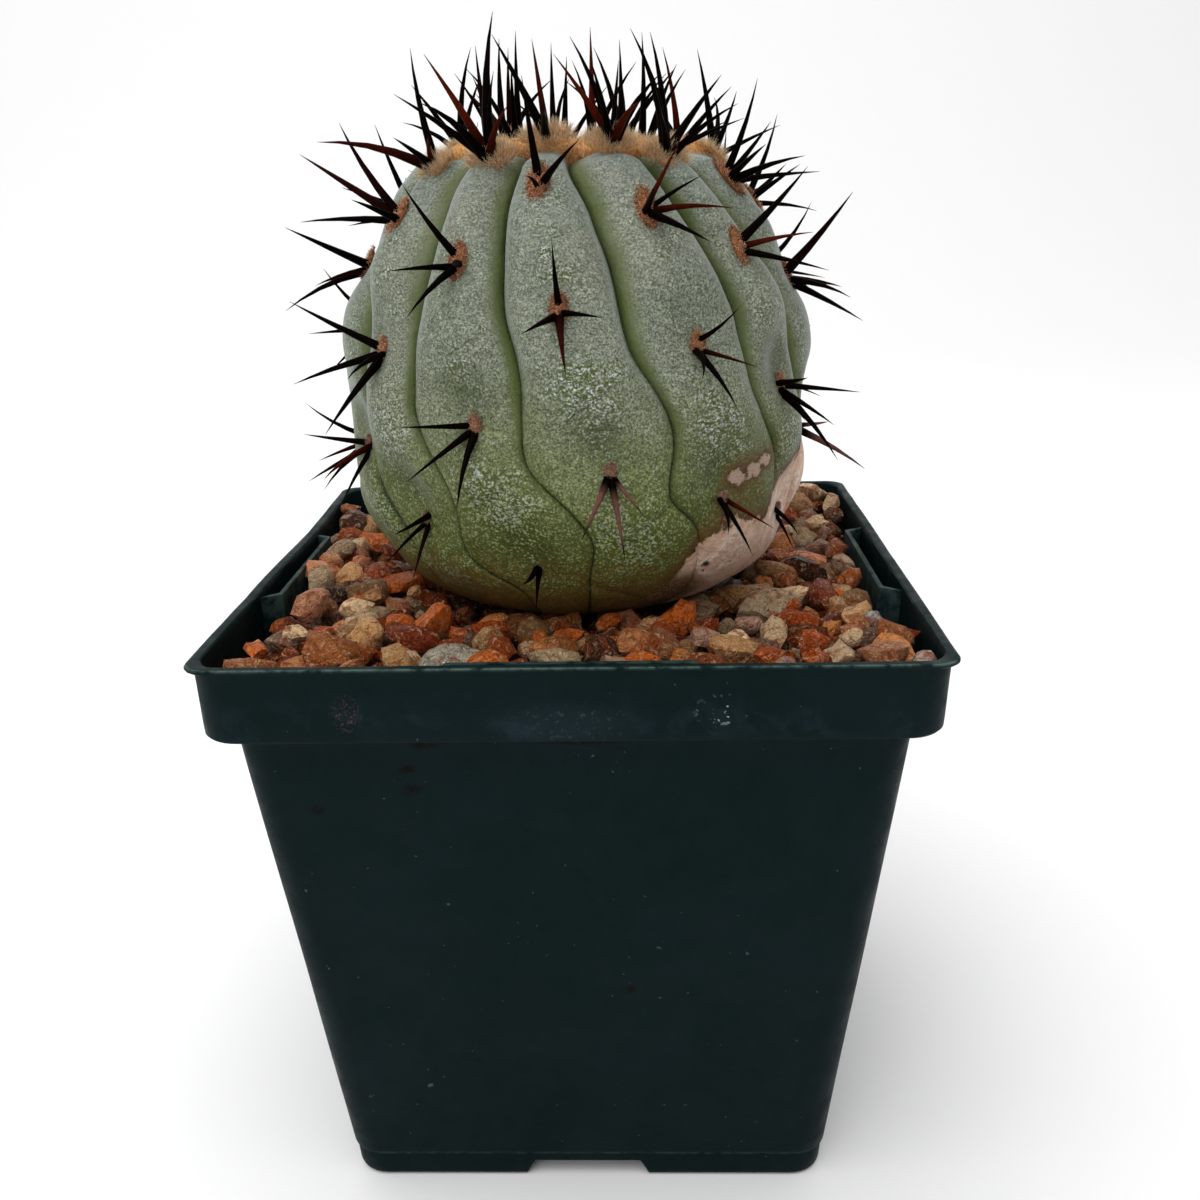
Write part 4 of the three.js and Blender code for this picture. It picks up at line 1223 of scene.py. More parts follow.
def stone_material():
    material, tree = new_material("Gravel")
    place = object_place(tree)
    blotch = mottle(tree, place, 0.3, 4, 0.65, 1.0)
    vein = mottle(tree, place, 0.8, 4, 0.7, 1.4)
    grain = mottle(tree, place, 3.2, 3, 0.7)
    colour = laid_over(tree, mark(tree, "tint", "Color"), remap(tree, blotch, 0.5, 0.62), 0.7,
                       STONE_RUST)
    colour = laid_over(tree, colour, remap(tree, vein, 0.53, 0.64), 0.65, STONE_VEIN)
    colour = laid_over(tree, colour, remap(tree, vein, 0.46, 0.36), 0.55, STONE_DARK)
    colour = shaded(tree, colour, remap(tree, grain, 0.34, 0.66, 0.72, 1.3, smooth=False))
    relief = plus(tree, grain, times(tree, vein, 4.0))
    surface(tree, colour, remap(tree, blotch, 0.3, 0.7, 0.25, 0.5), bump(tree, relief, 0.85),
            Specular_IOR_Level=0.22)
    return material


def mix_material():
    material, tree = new_material("Potting mix")
    place = object_place(tree)
    lumps = mottle(tree, place, 0.5, 4, 0.65)
    grain = mottle(tree, place, 2.5, 3, 0.65)
    colour = blend(tree, remap(tree, lumps, 0.35, 0.65), MIX_DARK, MIX_BROWN)
    colour = blend(tree, specks(tree, place, 0.9, 0.66, 0.03, 0.3), colour, MIX_GRIT)
    surface(tree, colour, 0.95, bump(tree, plus(tree, lumps, grain), 0.8))
    return material


# Pot and floor materials: tones, then marks on the pot's front in mm as (centre, size)

PLASTIC_CLOUD = (0.0022, 0.0094, 0.0108)
WHITE_MARK = (0.26, 0.32, 0.32)
BROWN_SMEAR = (0.105, 0.052, 0.052)
SOIL_CRUMB = (0.0035, 0.0016, 0.0012)
PALE_FLECK = (0.12, 0.17, 0.18)
DUSTY_PLACE = ((-1, -57, 95.5), (14, 6, 4.5))
WHITE_PLACE = ((22.5, -57, 97.5), (5, 6, 3))
SMEAR_PLACE = ((-33, -57, 97.3), (3, 6, 4))
CRUMB_PLACES = (
    ((-22.5, -52, 90.6), (3.4, 6, 1.2)), ((-25.5, -51.5, 86.2), (2, 6, 1.1)),
    ((-25, -51, 82.6), (2.2, 6, 1.3)), ((1, -52, 91), (9, 6, 0.9)),
    ((8, -47, 43), (1.6, 6, 1.2)), ((-40, -50, 79), (1.6, 6, 1.2)),
)


def plastic_material(pot):
    material, tree = new_material("Moulded plastic")
    place = object_place(tree)
    height = height_of(tree, place)
    clouds = mottle(tree, place, 0.045, 4, 0.6, 0.8)
    film = mottle(tree, place, 0.2, 4, 0.65, 0.5)
    colour = blend(tree, remap(tree, clouds, 0.35, 0.65), tuple(pot.plastic), PLASTIC_CLOUD)
    nibble = remap(tree, mottle(tree, place, 0.45, 4, 0.65), 0.34, 0.6)
    colour = laid_over(tree, colour, mark(tree, "worn"), nibble, tuple(pot.worn_edge))

    # Dried water on the band, with a dusty place, a white one and a brown smear in front
    band = times(tree, remap(tree, height, 91.5, 93.5), remap(tree, height, 102, 96))
    scale_marks = times(tree, remap(tree, film, 0.45, 0.75), band)
    colour = laid_over(tree, colour, scale_marks, 0.22, tuple(pot.limescale))
    dust = plus(tree, 0.25, specks(tree, place, 1.3, 0.58, 0.12, 0.6))
    haze_and_sheen = times(tree, spot(tree, place, *DUSTY_PLACE), dust)
    colour = laid_over(tree, colour, haze_and_sheen, 0.5, tuple(pot.limescale))
    colour = laid_over(tree, colour, spot(tree, place, *WHITE_PLACE),
                       specks(tree, place, 0.9, 0.62, 0.03, 0.8), WHITE_MARK)
    smear = times(tree, spot(tree, place, *SMEAR_PLACE),
                  specks(tree, place, 1.6, 0.54, 0.08, 2.0))
    colour = laid_over(tree, colour, smear, 0.6, BROWN_SMEAR)
    for centre, size in CRUMB_PLACES:
        crumb = times(tree, spot(tree, place, centre, size),
                      specks(tree, place, 1.0, 0.42, 0.05, 1.0))
        colour = laid_over(tree, colour, crumb, 0.9, SOIL_CRUMB)
    flecks = specks(tree, place, 0.8, 0.74, 0.03, 0.4)
    colour = laid_over(tree, colour, flecks, 0.35, PALE_FLECK)

    roughness = plus(tree, remap(tree, film, 0.3, 0.7, -0.06, 0.14), pot.roughness,
                     times(tree, scale_marks, 0.3))
    relief = plus(tree, mottle(tree, place, 1.6, 3), times(tree, film, 2.0))
    surface(tree, colour, roughness, bump(tree, relief, 0.03), Specular_IOR_Level=0.055)
    return material


def floor_material(colour):
    material, tree = new_material("Pale floor")
    surface(tree, (*colour, 1), 0.9, Specular_IOR_Level=0.1)
    return material


# Pot


def body_half(height):
    """Half width of the body at a height."""
    share = max(0, (height - SEAM_HEIGHT) / (BAND_BOTTOM - SEAM_HEIGHT))
    return BODY_FOOT_HALF + (BODY_TOP_HALF - BODY_FOOT_HALF) * share


def pot_profile():
    """Rows of the pot from under its floor, over the lip and down inside, as (half, z, corner)."""
    ring = FOOT_RING_HALF
    foot = FOOT_HALF
    rows = [
        (0, FLOOR_UNDER, FOOT_PAD_RADIUS), (ring - 0.4, FLOOR_UNDER, FOOT_PAD_RADIUS),
        (ring, FLOOR_UNDER - 0.3, FOOT_PAD_RADIUS), (ring, 0.25, FOOT_PAD_RADIUS),
        (ring + 0.2, 0, FOOT_PAD_RADIUS), (foot - 1.0, 0, BODY_CORNER),
        (foot - 0.6, 0.15, BODY_CORNER), (foot - 0.15, 0.6, BODY_CORNER),
        (foot, 1.2, BODY_CORNER), (foot + 0.27, SEAM_HEIGHT - 0.5, BODY_CORNER),
        (foot + 0.2, SEAM_HEIGHT - 0.15, BODY_CORNER), (foot + 0.2, SEAM_HEIGHT, BODY_CORNER),
        (BODY_FOOT_HALF - 0.02, SEAM_HEIGHT + 0.2, BODY_CORNER),
    ]
    for k in range(WALL_LEVELS + 1):
        z = SEAM_HEIGHT + 0.6 + (BAND_BOTTOM - 0.5 - SEAM_HEIGHT - 0.6) * k / WALL_LEVELS
        rows.append((body_half(z), z, BODY_CORNER))
    band = BAND_FOOT_HALF
    inner = BODY_TOP_HALF - WALL
    floor = body_half(FLOOR_TOP) - WALL
    rows += [
        (BODY_TOP_HALF + 0.25, BAND_BOTTOM - 0.1, BODY_CORNER),
        (band - 0.9, BAND_BOTTOM, BAND_CORNER), (band - 0.35, BAND_BOTTOM + 0.15, BAND_CORNER),
        (band - 0.05, BAND_BOTTOM + 0.6, BAND_CORNER), (band + 0.05, 94.5, BAND_CORNER),
        (band + 0.15, 97.5, BAND_CORNER), (band + 0.28, 101, BAND_CORNER),
        (band + 0.4, 103.6, BAND_CORNER), (band + 0.5, 103.85, 5.4), (band + 0.9, 103.95, 4.2),
        (band + 1.0, 104.15, LIP_CORNER), (band + 1.0, 104.45, LIP_CORNER),
        (band + 0.85, 104.65, LIP_CORNER), (band + 0.55, POT_HEIGHT, LIP_CORNER),
        (band - 0.55, POT_HEIGHT - 0.05, 3.9), (band - 0.78, POT_HEIGHT - 0.3, 4.3),
        (band - 0.95, 103.4, INNER_CORNER), (band - 1.15, 98, INNER_CORNER),
        (band - WALL, 93.75, INNER_CORNER), (band - WALL - 0.15, 93.6, INNER_CORNER),
        (inner + 0.2, 93.55, INNER_CORNER), (inner, 93.3, INNER_CORNER),
        (body_half(60) - WALL, 60, INNER_CORNER), (body_half(30) - WALL, 30, INNER_CORNER),
        (floor, FLOOR_TOP + 0.4, INNER_CORNER), (floor - 0.4, FLOOR_TOP, INNER_CORNER),
        (0, FLOOR_TOP, INNER_CORNER),
    ]
    return rows


def side_places(straight):
    """Places along one side, fixed about the foot notch and even beyond it."""
    first = SIDE_MARKS[-1]
    outer = [first + (straight - first) * k / SIDE_STEPS for k in range(1, SIDE_STEPS + 1)]
    return [-x for x in reversed(outer)] + list(SIDE_MARKS) + outer


def square_ring(half, radius):
    """Outline of a rounded square as (x, y) points and the place along its side, or None."""
    if half == 0:
        return [(0, 0, None)] * RING_POINTS
    points = []
    straight = half - radius
    for side in range(4):
        turn = math.radians(side * 90)
        for x in side_places(straight):
            points.append((*turned(x, -half, turn), x))
        for k in range(1, CORNER_STEPS):
            angle = math.radians(-90 + 90 * k / CORNER_STEPS)
            x = straight + radius * math.cos(angle)
            y = -straight + radius * math.sin(angle)
            points.append((*turned(x, y, turn), None))
    return points


def turned(x, y, turn):
    """A place turned about the Z axis."""
    return x * math.cos(turn) - y * math.sin(turn), x * math.sin(turn) + y * math.cos(turn)


def foot_notch(x):
    """Height of the foot notch over a place along the side."""
    if x is None:
        return 0
    share = (FOOT_NOTCH_BOTTOM - abs(x)) / (FOOT_NOTCH_BOTTOM - FOOT_NOTCH_TOP)
    return FOOT_NOTCH_HEIGHT * min(max(share, 0), 1)


# Unevenness of the moulding in mm: waves and a bow in the walls, and from a height up the
# nicks, burrs and wear of the lip
WALL_WAVE = 0.22
LEFT_BOW = 0.7
LIP_FROM = 103.9
NICK_DEPTH = 0.16
BURR_HEIGHT = 0.05
LIP_LOSS = 0.03


def pot_dent(x, y, z):
    """Slow waves in the thin walls, in mm, and the far part of the left wall, which bows in."""
    wave = WALL_WAVE * noise.noise(Vector((x, y, z)) * 0.03) * step(z, 6, 40)
    shift = Vector((x, y, 0)) * (wave / max(math.hypot(x, y), 1))
    if x < -50:
        shift.x += LEFT_BOW * step(z, 60, 100) * math.exp(-(((y - 22) / 22) ** 2))
    return shift


def lip_nicks(x, y, z):
    """Small nicks and burrs on the lip's outer edge, in mm outwards."""
    if z < LIP_FROM:
        return 0
    nick = step(noise.noise(Vector((x, y, 3)) * 0.35), 0.15, 0.6)
    burr = noise.noise(Vector((x, y, 9)) * 1.2)
    return -NICK_DEPTH * nick + BURR_HEIGHT * burr - LIP_LOSS


# How worn the rows of the lip look, by their height
LIP_WEAR = {104.45: 0.25, 104.65: 1.0, 104.7: 0.12}
SEAM_WEAR = 0.4
SEAM_REACH = 0.25
TAB_WEAR = 0.35


def pot_shell():
    """Floor, walls, band and lip as one closed sheet."""
    profile = pot_profile()
    rings = [square_ring(half, corner) for half, _, corner in profile]

    def place(column, row):
        x, y, along = rings[row][column]
        half, z, _ = profile[row]
        if half > FOOT_RING_HALF - 0.5 and z < FOOT_NOTCH_HEIGHT:
            z = max(z, foot_notch(along))
        worn = LIP_WEAR.get(round(z, 2), 0) if half > BAND_FOOT_HALF + 0.5 else 0
        if half > FOOT_HALF - 0.3:
            from_seam = (z - SEAM_HEIGHT) / SEAM_REACH
            worn = max(worn, SEAM_WEAR * math.exp(-(from_seam ** 2)))
        point = Vector((x, y, z))
        if half > 0:
            outward = Vector((x, y, 0)).normalized()
            point += pot_dent(x, y, z)
            point += outward * lip_nicks(x, y, z)
            point.x = min(max(point.x, -LIP_HALF), LIP_HALF)
            point.y = min(max(point.y, -LIP_HALF), LIP_HALF)
        return point * MM, (worn,)

    return wrapped_sheet(RING_POINTS, len(profile) - 1, place, ("worn",))


def cut_drains(bm):
    """The shell with the drain holes cut through its floor."""
    tool = bmesh.new()
    for x, y, radius in DRAINS:
        matrix = Matrix.Translation(Vector((x, y, DRILL_MIDDLE)) * MM)
        bmesh.ops.create_cone(tool, cap_ends=True, segments=28, radius1=radius * MM,
                              radius2=radius * MM, depth=DRILL_LENGTH * MM, matrix=matrix)
    shell = bpy.data.objects.new("shell_blank", mesh_from(bm, "shell_blank"))
    cutter = bpy.data.objects.new("drain_cutter", mesh_from(tool, "drain_cutter"))
    for item in (shell, cutter):
        bpy.context.scene.collection.objects.link(item)
    modifier = shell.modifiers.new("Drains", "BOOLEAN")
    modifier.operation = "DIFFERENCE"
    modifier.solver = "EXACT"
    modifier.object = cutter
    graph = bpy.context.evaluated_depsgraph_get()
    result = bmesh.new()
    result.from_mesh(shell.evaluated_get(graph).to_mesh())
    for item in (shell, cutter):
        mesh = item.data
        bpy.data.objects.remove(item)
        bpy.data.meshes.remove(mesh)
    return result


def add_label_slots(bm):
    """Strips inside the rim with their ends bent to the wall, one on each side."""
    wall = BAND_FOOT_HALF - WALL + 0.5
    front = TAB_FACE
    back = TAB_FACE + TAB_THICKNESS
    run = TAB_HALF + TAB_RETURN
    half = TAB_THICKNESS / 2
    outline = [(-run - half, -wall), (-TAB_HALF - half, -front), (TAB_HALF + half, -front),
               (run + half, -wall), (run - half, -wall), (TAB_HALF - half, -back),
               (-TAB_HALF + half, -back), (-run + half, -wall)]
    worn = bm.verts.layers.float["worn"]
    for side in range(4):
        turn = math.radians(90 * side)
        points = [Vector((*turned(x, y, turn), TAB_BOTTOM)) * MM for x, y in outline]
        verts = [bm.verts.new(point) for point in points]
        face = bm.faces.new(verts)
        grown = bmesh.ops.extrude_face_region(bm, geom=[face])["geom"]
        tops = [item for item in grown if isinstance(item, bmesh.types.BMVert)]
        bmesh.ops.translate(bm, verts=tops, vec=UP * (TAB_TOP - TAB_BOTTOM) * MM)
        for vert in tops:
            vert[worn] = TAB_WEAR
        edges = [edge for edge in bm.edges
                 if edge.verts[0] in tops and edge.verts[1] in tops]
        bmesh.ops.bevel(bm, geom=edges, offset=0.12 * MM, offset_type="OFFSET", segments=2,
                        profile=0.5, affect="EDGES", material=-1)
    bmesh.ops.recalc_face_normals(bm, faces=bm.faces)


# Gravel

# Colours of the stones, each with its share, and what the drawn ones are multiplied by
STONE_TINTS = (
    ((0.42, 0.072, 0.008), 6), ((0.68, 0.150, 0.016), 7), ((0.74, 0.28, 0.080), 5),
    ((0.70, 0.40, 0.17), 5), ((0.92, 0.68, 0.42), 7), ((0.48, 0.20, 0.08), 3),
    ((0.060, 0.022, 0.010), 3), ((0.40, 0.24, 0.18), 4), ((0.84, 0.32, 0.16), 6),
    ((0.22, 0.032, 0.005), 5),
)
TINT_SHIFT = (1, 0.92, 0.85)
# Layers of stones as (height, spacing, spread, how light they are): the low layers are painted
# darker as shade in the gaps between the stones, and the top one lighter as if lit from above
STONE_LAYERS = ((97.2, 5.0, 0.5, 0.2), (99.5, 5.4, 0.9, 0.6), (101.0, 6.3, 1.0, 1.3))
UPPER_LEVEL = 99
STONE_SHAPES = 30
STONE_LEAN = 0.45
# Shapes: lumps as (size, how fine), number and reach of the broken faces, and the rough grain
STONE_LUMPS = ((0.45, 1.2), (0.2, 3))
STONE_BREAKS = (4, 7)
BREAK_REACH = (0.5, 0.85)
STONE_GRAIN = 0.06
# Drawn stones: how rare the large ones are, length, width and height as shares of the size,
# how light they are, and how far they stray from their grid as a share of its spacing
STONE_RARITY = 1.6
STONE_SIZES = ((1.0, 1.45), (0.75, 1.0), (0.65, 0.9))
STONE_LIGHT = (0.75, 1.4)
STONE_STRAY = 0.4
# The gravel heaps up round the plant and, in its upper layers, rises to the rear
HEAP = 0.9
HEAP_FROM = 24
HEAP_RUN = 26
REAR_RISE = 1.6
REAR = (5, 45)
# Stones that stand out in the photo: (x, y, z, length, width, height, turn, tint)
PLACED_STONES = (
    (48.6, -29.3, 101.6, 1.9, 1.7, 1.6, 0, (0.60, 0.63, 0.60)),
    (-20, -44.5, 101.2, 5.8, 2.6, 2.2, 20, (0.60, 0.54, 0.42)),
    (-2, -46, 100.6, 4.8, 3.2, 2.6, 10, (0.66, 0.48, 0.27)),
    (-14, -38, 101.4, 2.6, 2.4, 4.2, 30, (0.60, 0.34, 0.14)),
    (13.5, -41, 101.2, 4.6, 3.8, 3.4, -20, (0.40, 0.14, 0.05)),
    (21, -47.5, 100.6, 4.6, 3.4, 2.8, 15, (0.32, 0.08, 0.02)),
    (31, -22, 102.2, 6.2, 3.9, 3.0, 15, (0.66, 0.48, 0.29)),
    (-38, -44, 101.9, 4.6, 4.2, 3.4, -10, (0.50, 0.15, 0.035)),
    (52.4, -50.6, 102.8, 2.4, 2.0, 1.8, 10, (0.78, 0.56, 0.46)),
    (49.6, -38.5, 102.4, 4.0, 2.9, 2.6, -35, (0.46, 0.15, 0.045)),
    (47.2, -47.2, 102.0, 4.3, 3.2, 2.8, 0, (0.58, 0.22, 0.10)),
    (-48.6, -49.6, 102.0, 4.4, 2.9, 2.6, 5, (0.56, 0.19, 0.06)),
    (-46, -20, 102.2, 4.8, 2.8, 2.6, 60, (0.80, 0.32, 0.17)),
    (-42, 44, 102.6, 4.6, 3.6, 3.0, 40, (0.86, 0.58, 0.33)),
    (44, 42, 102.4, 4.2, 3.4, 3.0, 0, (0.76, 0.38, 0.17)),
    (-48.2, -6, 102.2, 3.4, 2.6, 2.4, 70, (0.86, 0.60, 0.36)),
    (-48.2, 3, 102.5, 3.2, 2.4, 2.6, -50, (0.84, 0.36, 0.14)),
    (-48, 12, 102.7, 3.6, 2.6, 2.4, 30, (0.74, 0.50, 0.30)),
    (48.2, -9, 102.0, 3.2, 2.6, 2.2, 60, (0.66, 0.17, 0.03)),
    (48.4, 0, 102.2, 3.2, 2.4, 2.2, -60, (0.80, 0.54, 0.33)),
    (48.2, 9, 102.4, 3.4, 2.5, 2.4, 80, (0.44, 0.10, 0.02)),
)


def stone_shape(name, rng):
    """Broken stone: a small ball whose sides are pressed flat by planes."""
    bm = bmesh.new()
    bm.verts.layers.float_color.new("tint")
    bmesh.ops.create_icosphere(bm, subdivisions=2, radius=1)
    shift = scatter(rng) * 5
    for vert in bm.verts:
        lump = sum(size * noise.noise(vert.co * fine + shift) for size, fine in STONE_LUMPS)
        vert.co *= 1 + lump
    for _ in range(rng.randint(*STONE_BREAKS)):
        away = scatter(rng).normalized()
        reach = rng.uniform(*BREAK_REACH)
        for vert in bm.verts:
            over = vert.co.dot(away) - reach
            if over > 0:
                vert.co -= away * over
    for vert in bm.verts:
        vert.co *= 1 + STONE_GRAIN * rng.uniform(-1, 1)
    return mesh_from(bm, name)


def clear_of_plant(x, y, z, radius):
    """True where a stone stays outside the plant's foot."""
    top = min(max(z + 0.5 * radius, SKIN_FOOT), BELT)
    return math.hypot(x, y) > outline_at(turn_at(top))[0] + 0.62 * radius


def clear_of_slots(x, y, radius):
    """True where a stone stays inside the pot's band and its label slots."""
    across, along = sorted((abs(x), abs(y)), reverse=True)
    inside = TAB_FACE if along < TAB_HALF + TAB_RETURN + radius else GRAVEL_HALF
    return across + 0.75 * radius < inside


def grid_places(pitch, stray, rng):
    """Places on a staggered grid over the pot, each strayed a little."""
    cells = round(2 * GRAVEL_HALF / pitch)
    for row in range(cells + 1):
        for column in range(cells + 1):
            x = -GRAVEL_HALF + 2 * GRAVEL_HALF * (column + 0.5 * (row % 2)) / cells
            y = -GRAVEL_HALF + 2 * GRAVEL_HALF * row / cells
            yield x + stray * rng.uniform(-1, 1), y + stray * rng.uniform(-1, 1)


def build_stones(gravel):
    """The placed stones, then layers of drawn ones where they are clear of everything."""
    rng = random.Random(gravel.seed)
    shapes = [stone_shape(f"stone_{index}", rng) for index in range(STONE_SHAPES)]
    tints = [tint for tint, weight in STONE_TINTS for _ in range(weight)]
    bm = bmesh.new()
    bm.verts.layers.float_color.new("tint")
    small, large = gravel.small / MM, gravel.large / MM

    def lay(x, y, z, sizes, turn, tint):
        lean = Matrix.Rotation(rng.uniform(-STONE_LEAN, STONE_LEAN), 4, "X")
        lean = lean @ Matrix.Rotation(rng.uniform(-STONE_LEAN, STONE_LEAN), 4, "Y")
        matrix = Matrix.Translation(Vector((x, y, z)) * MM) @ Matrix.Rotation(turn, 4, "Z") @ lean
        matrix = matrix @ Matrix.Diagonal((*(size * MM for size in sizes), 1))
        roll = Matrix.Rotation(rng.choice((0, math.pi)), 4, "X")
        add_copy(bm, rng.choice(shapes), matrix @ roll, {"tint": (*tint, 1)})

    taken = []
    for x, y, z, length, width, height, turn, tint in PLACED_STONES:
        taken.append((x, y, 0.8 * length))
        lay(x, y, z, (length, width, height), math.radians(turn), tint)
    for level, pitch, spread, painted_layer_light in STONE_LAYERS:
        upper = level > UPPER_LEVEL
        for x, y in grid_places(pitch, STONE_STRAY * pitch, rng):
            size = small + (large - small) * rng.random() ** STONE_RARITY
            heap = HEAP * max(0, 1 - (math.hypot(x, y) - HEAP_FROM) / HEAP_RUN)
            z = level + heap + spread * rng.uniform(-1, 1)
            if upper:
                z += REAR_RISE * step(y, *REAR)
            sizes = [size * rng.uniform(*span) for span in STONE_SIZES]
            # Painted shade on the lower layers seen in the gaps, and painted light on the top layer
            shade = rng.uniform(*STONE_LIGHT) * painted_layer_light
            tint = [value * shift * shade for value, shift in zip(rng.choice(tints), TINT_SHIFT)]
            turn = rng.uniform(0, 2 * math.pi)
            covered = upper and any(math.hypot(x - a, y - b) < reach for a, b, reach in taken)
            if clear_of_plant(x, y, z, size) and clear_of_slots(x, y, size) and not covered:
                lay(x, y, z, sizes, turn, tint)
    drop_meshes(shapes)
    bmesh.ops.recalc_face_normals(bm, faces=bm.faces)
    return bm


def build_bed():
    """Grit bed under the stones, a slab with a round hole for the root."""
    outer = square_ring(GRAVEL_HALF, INNER_CORNER)

    def place(column, row):
        x, y, _ = outer[column]
        if row in (0, 3, 4):
            size = BED_HOLE / math.hypot(x, y)
            x, y = x * size, y * size
        z = BED_BOTTOM if row in (0, 1, 4) else BED_TOP
        return Vector((x, y, z)) * MM, ()

    return wrapped_sheet(RING_POINTS, 4, place)


# Wool

# The wool's edge between the ribs and past their youngest areoles, and its rise as (share of
# the way out, mm)
WOOL_EDGE = 16.5
WOOL_LOBE = 0.6
WOOL_TUFT = 0.6
WOOL_SINK = 3
WOOL_SEAT_RADIUS = 21.5
WOOL_SEAT_DROP = 1.2
WOOL_PROFILE = ((1, -0.6), (0.95, 0.1), (0.88, 0.6), (0.74, 1.0), (0.5, 1.2), (0.26, 1), (0, 0.8))
WOOL_COLUMNS = 12
WOOL_ROWS = 26
WOOL_LUMPS = ((0.55, 0.55), (0.25, 1.6))
# Fibres: how long, how light and how thick they are, and how far they stray from their course
WOOL_SEED = 11
WOOL_LENGTH = (1.1, 2.3)
WOOL_TONE = (-0.2, 0.12)
WOOL_THICKNESS = 0.032
WOOL_SCATTER = 0.55
TUFT_SEED = 23
TUFT_FIBRES = 1200
TUFT_WIDE = 4.0
TUFT_TALL = 2.9
TUFT_LENGTH = (1.2, 2.9)
TUFT_TONE = (-0.25, 0.12)
TUFT_THICKNESS = 0.033
TUFT_SCATTER = 0.45
FELT_SEED = 5
FELT_LENGTH = (0.6, 1.15)
FELT_TONE = (-0.55, 0.15)
FELT_THICKNESS = 0.07
FELT_SCATTER = 0.55
# Felt pads at the youngest and the oldest areole: number of fibres, width and height. Under
# the fibres lies a pad of this share of that size and of this thickness in mm
FELT_FIBRES = (460, 180)
FELT_WIDE = (2.0, 0.9)
FELT_TALL = (4.2, 1.1)
PAD_SIZE = 0.85
PAD_HEIGHT = 0.6
# One fibre: its rings as (place along it, width), and the bows it comes in
FIBRE_SIDES = 3
FIBRE_RINGS = ((0, 1), (0.5, 0.75), (1, 0.2))
FIBRE_BOWS = (2.0, -3.5, 5.0, -6.0)
# Marks of the fibres and of the wool under and over its edge
FIBRE_MARKS = ("along", "tone", "grey")
WOOL_UNDER = (0.0, -0.25, 0.0)
WOOL_OVER = (0.15, -0.15, 0.0)


def wool_reach(rib):
    """How far out the wool comes on a rib's crest: just over its youngest areole."""
    youngest = max(areole_heights(rib % RIB_COUNT))
    if youngest <= WOOL_AREOLE:
        return WOOL_EDGE
    return outline_at(turn_at(youngest))[0] + WOOL_LOBE


def wool_top(ribs, share):
    """Point on the wool over a place between ribs, at a share of its reach."""
    whole = math.floor(ribs)
    part = ribs - whole
    nearest = round(ribs)
    lobe = math.cos(math.pi * (ribs - nearest)) ** 4
    radius = share * (WOOL_EDGE + (wool_reach(nearest) - WOOL_EDGE) * lobe)
    first, second = (crest_angle(whole + k, LEVEL_TOP) for k in (0, 1))
    angle = math.radians(first + (second - first) * part)
    rise = piecewise(WOOL_PROFILE[::-1], share)
    rise += WOOL_TUFT * lobe * math.sin(math.pi * share)
    seat = crown_height(max(radius, WOOL_SEAT_RADIUS)) - WOOL_SEAT_DROP
    return polar(angle, radius, max(BRIM, seat) + rise)


def build_wool_body():
    """Closed body of the wool, from the middle of its underside round to its top."""
    def place(column, row):
        ribs = column / WOOL_COLUMNS
        if row == 0:
            return Vector((0, 0, BRIM - WOOL_SINK)) * MM, WOOL_UNDER
        if row == 1:
            point = wool_top(ribs, 1)
            point.z = (BRIM - WOOL_SINK) * MM
            return point, WOOL_UNDER
        share = 1 - (row - 2) / WOOL_ROWS
        point = wool_top(ribs, share)
        fluff = sum(noise.noise(point / MM * fine) * size for size, fine in WOOL_LUMPS)
        point.z += fluff * MM * min(1, 4 * share)
        return point, WOOL_OVER

    return wrapped_sheet(RIB_COUNT * WOOL_COLUMNS, WOOL_ROWS + 2, place, FIBRE_MARKS)


def fibre_shapes():
    """Thin three-sided needles with different bows."""
    return [needle_shape(f"fibre_{index}", FIBRE_SIDES, FIBRE_RINGS, bow, FIBRE_MARKS)
            for index, bow in enumerate(FIBRE_BOWS)]


def lay_fibre(bm, shapes, rng, point, direction, length, thickness, tone, grey=0.0):
    """Adds one fibre, bowed to a side that is drawn."""
    matrix = frame_matrix(point, direction, scatter(rng), thickness * MM, length * MM)
    add_copy(bm, rng.choice(shapes), matrix, {"tone": tone, "grey": grey})


def build_wool_fibres(plant):
    """Fluff over the wool, thickest and longest at its edge."""
    rng = random.Random(WOOL_SEED)
    shapes = fibre_shapes()
    bm = marked_mesh(FIBRE_MARKS)
    for _ in range(plant.wool_fibres):
        ribs = rng.uniform(0, RIB_COUNT)
        share = min(1, rng.uniform(0.02, 1.6) ** 0.45)
        point = wool_top(ribs, share)
        point.z -= (rng.uniform(0, 3.4) if share == 1 else 0.5) * MM
        outward = Vector((point.x, point.y, 0)).normalized()
        direction = UP + outward * (0.45 if share == 1 else 0.1 + 0.7 * share ** 6)
        direction += scatter(rng) * WOOL_SCATTER
        length = rng.uniform(*WOOL_LENGTH)
        tone = rng.uniform(*WOOL_TONE)
        lay_fibre(bm, shapes, rng, point, direction, length, WOOL_THICKNESS, tone)
    drop_meshes(shapes)
    return bm


def build_tufts():
    """Cushions of wool at the areoles that have just left the crown."""
    rng = random.Random(TUFT_SEED)
    shapes = fibre_shapes()
    bm = marked_mesh(FIBRE_MARKS)
    for rib, height, _ in all_areoles():
        if height <= WOOL_AREOLE:
            continue
        point, normal, up, side = areole_frame(rib, height)
        for _ in range(TUFT_FIBRES):
            angle = rng.uniform(0, 2 * math.pi)
            reach = math.sqrt(rng.random())
            aside = side * (TUFT_WIDE * reach * math.cos(angle))
            along = up * (TUFT_TALL * reach * math.sin(angle) + 0.3)
            start = point + (aside + along - normal * (0.2 + 0.8 * reach)) * MM
            direction = normal + (aside + along) * 0.2 + UP * 0.15 + scatter(rng) * TUFT_SCATTER
            length = rng.uniform(*TUFT_LENGTH) * (1.1 - 0.35 * reach)
            tone = rng.uniform(*TUFT_TONE)
            lay_fibre(bm, shapes, rng, start, direction, length, TUFT_THICKNESS, tone)
    drop_meshes(shapes)
    return bm


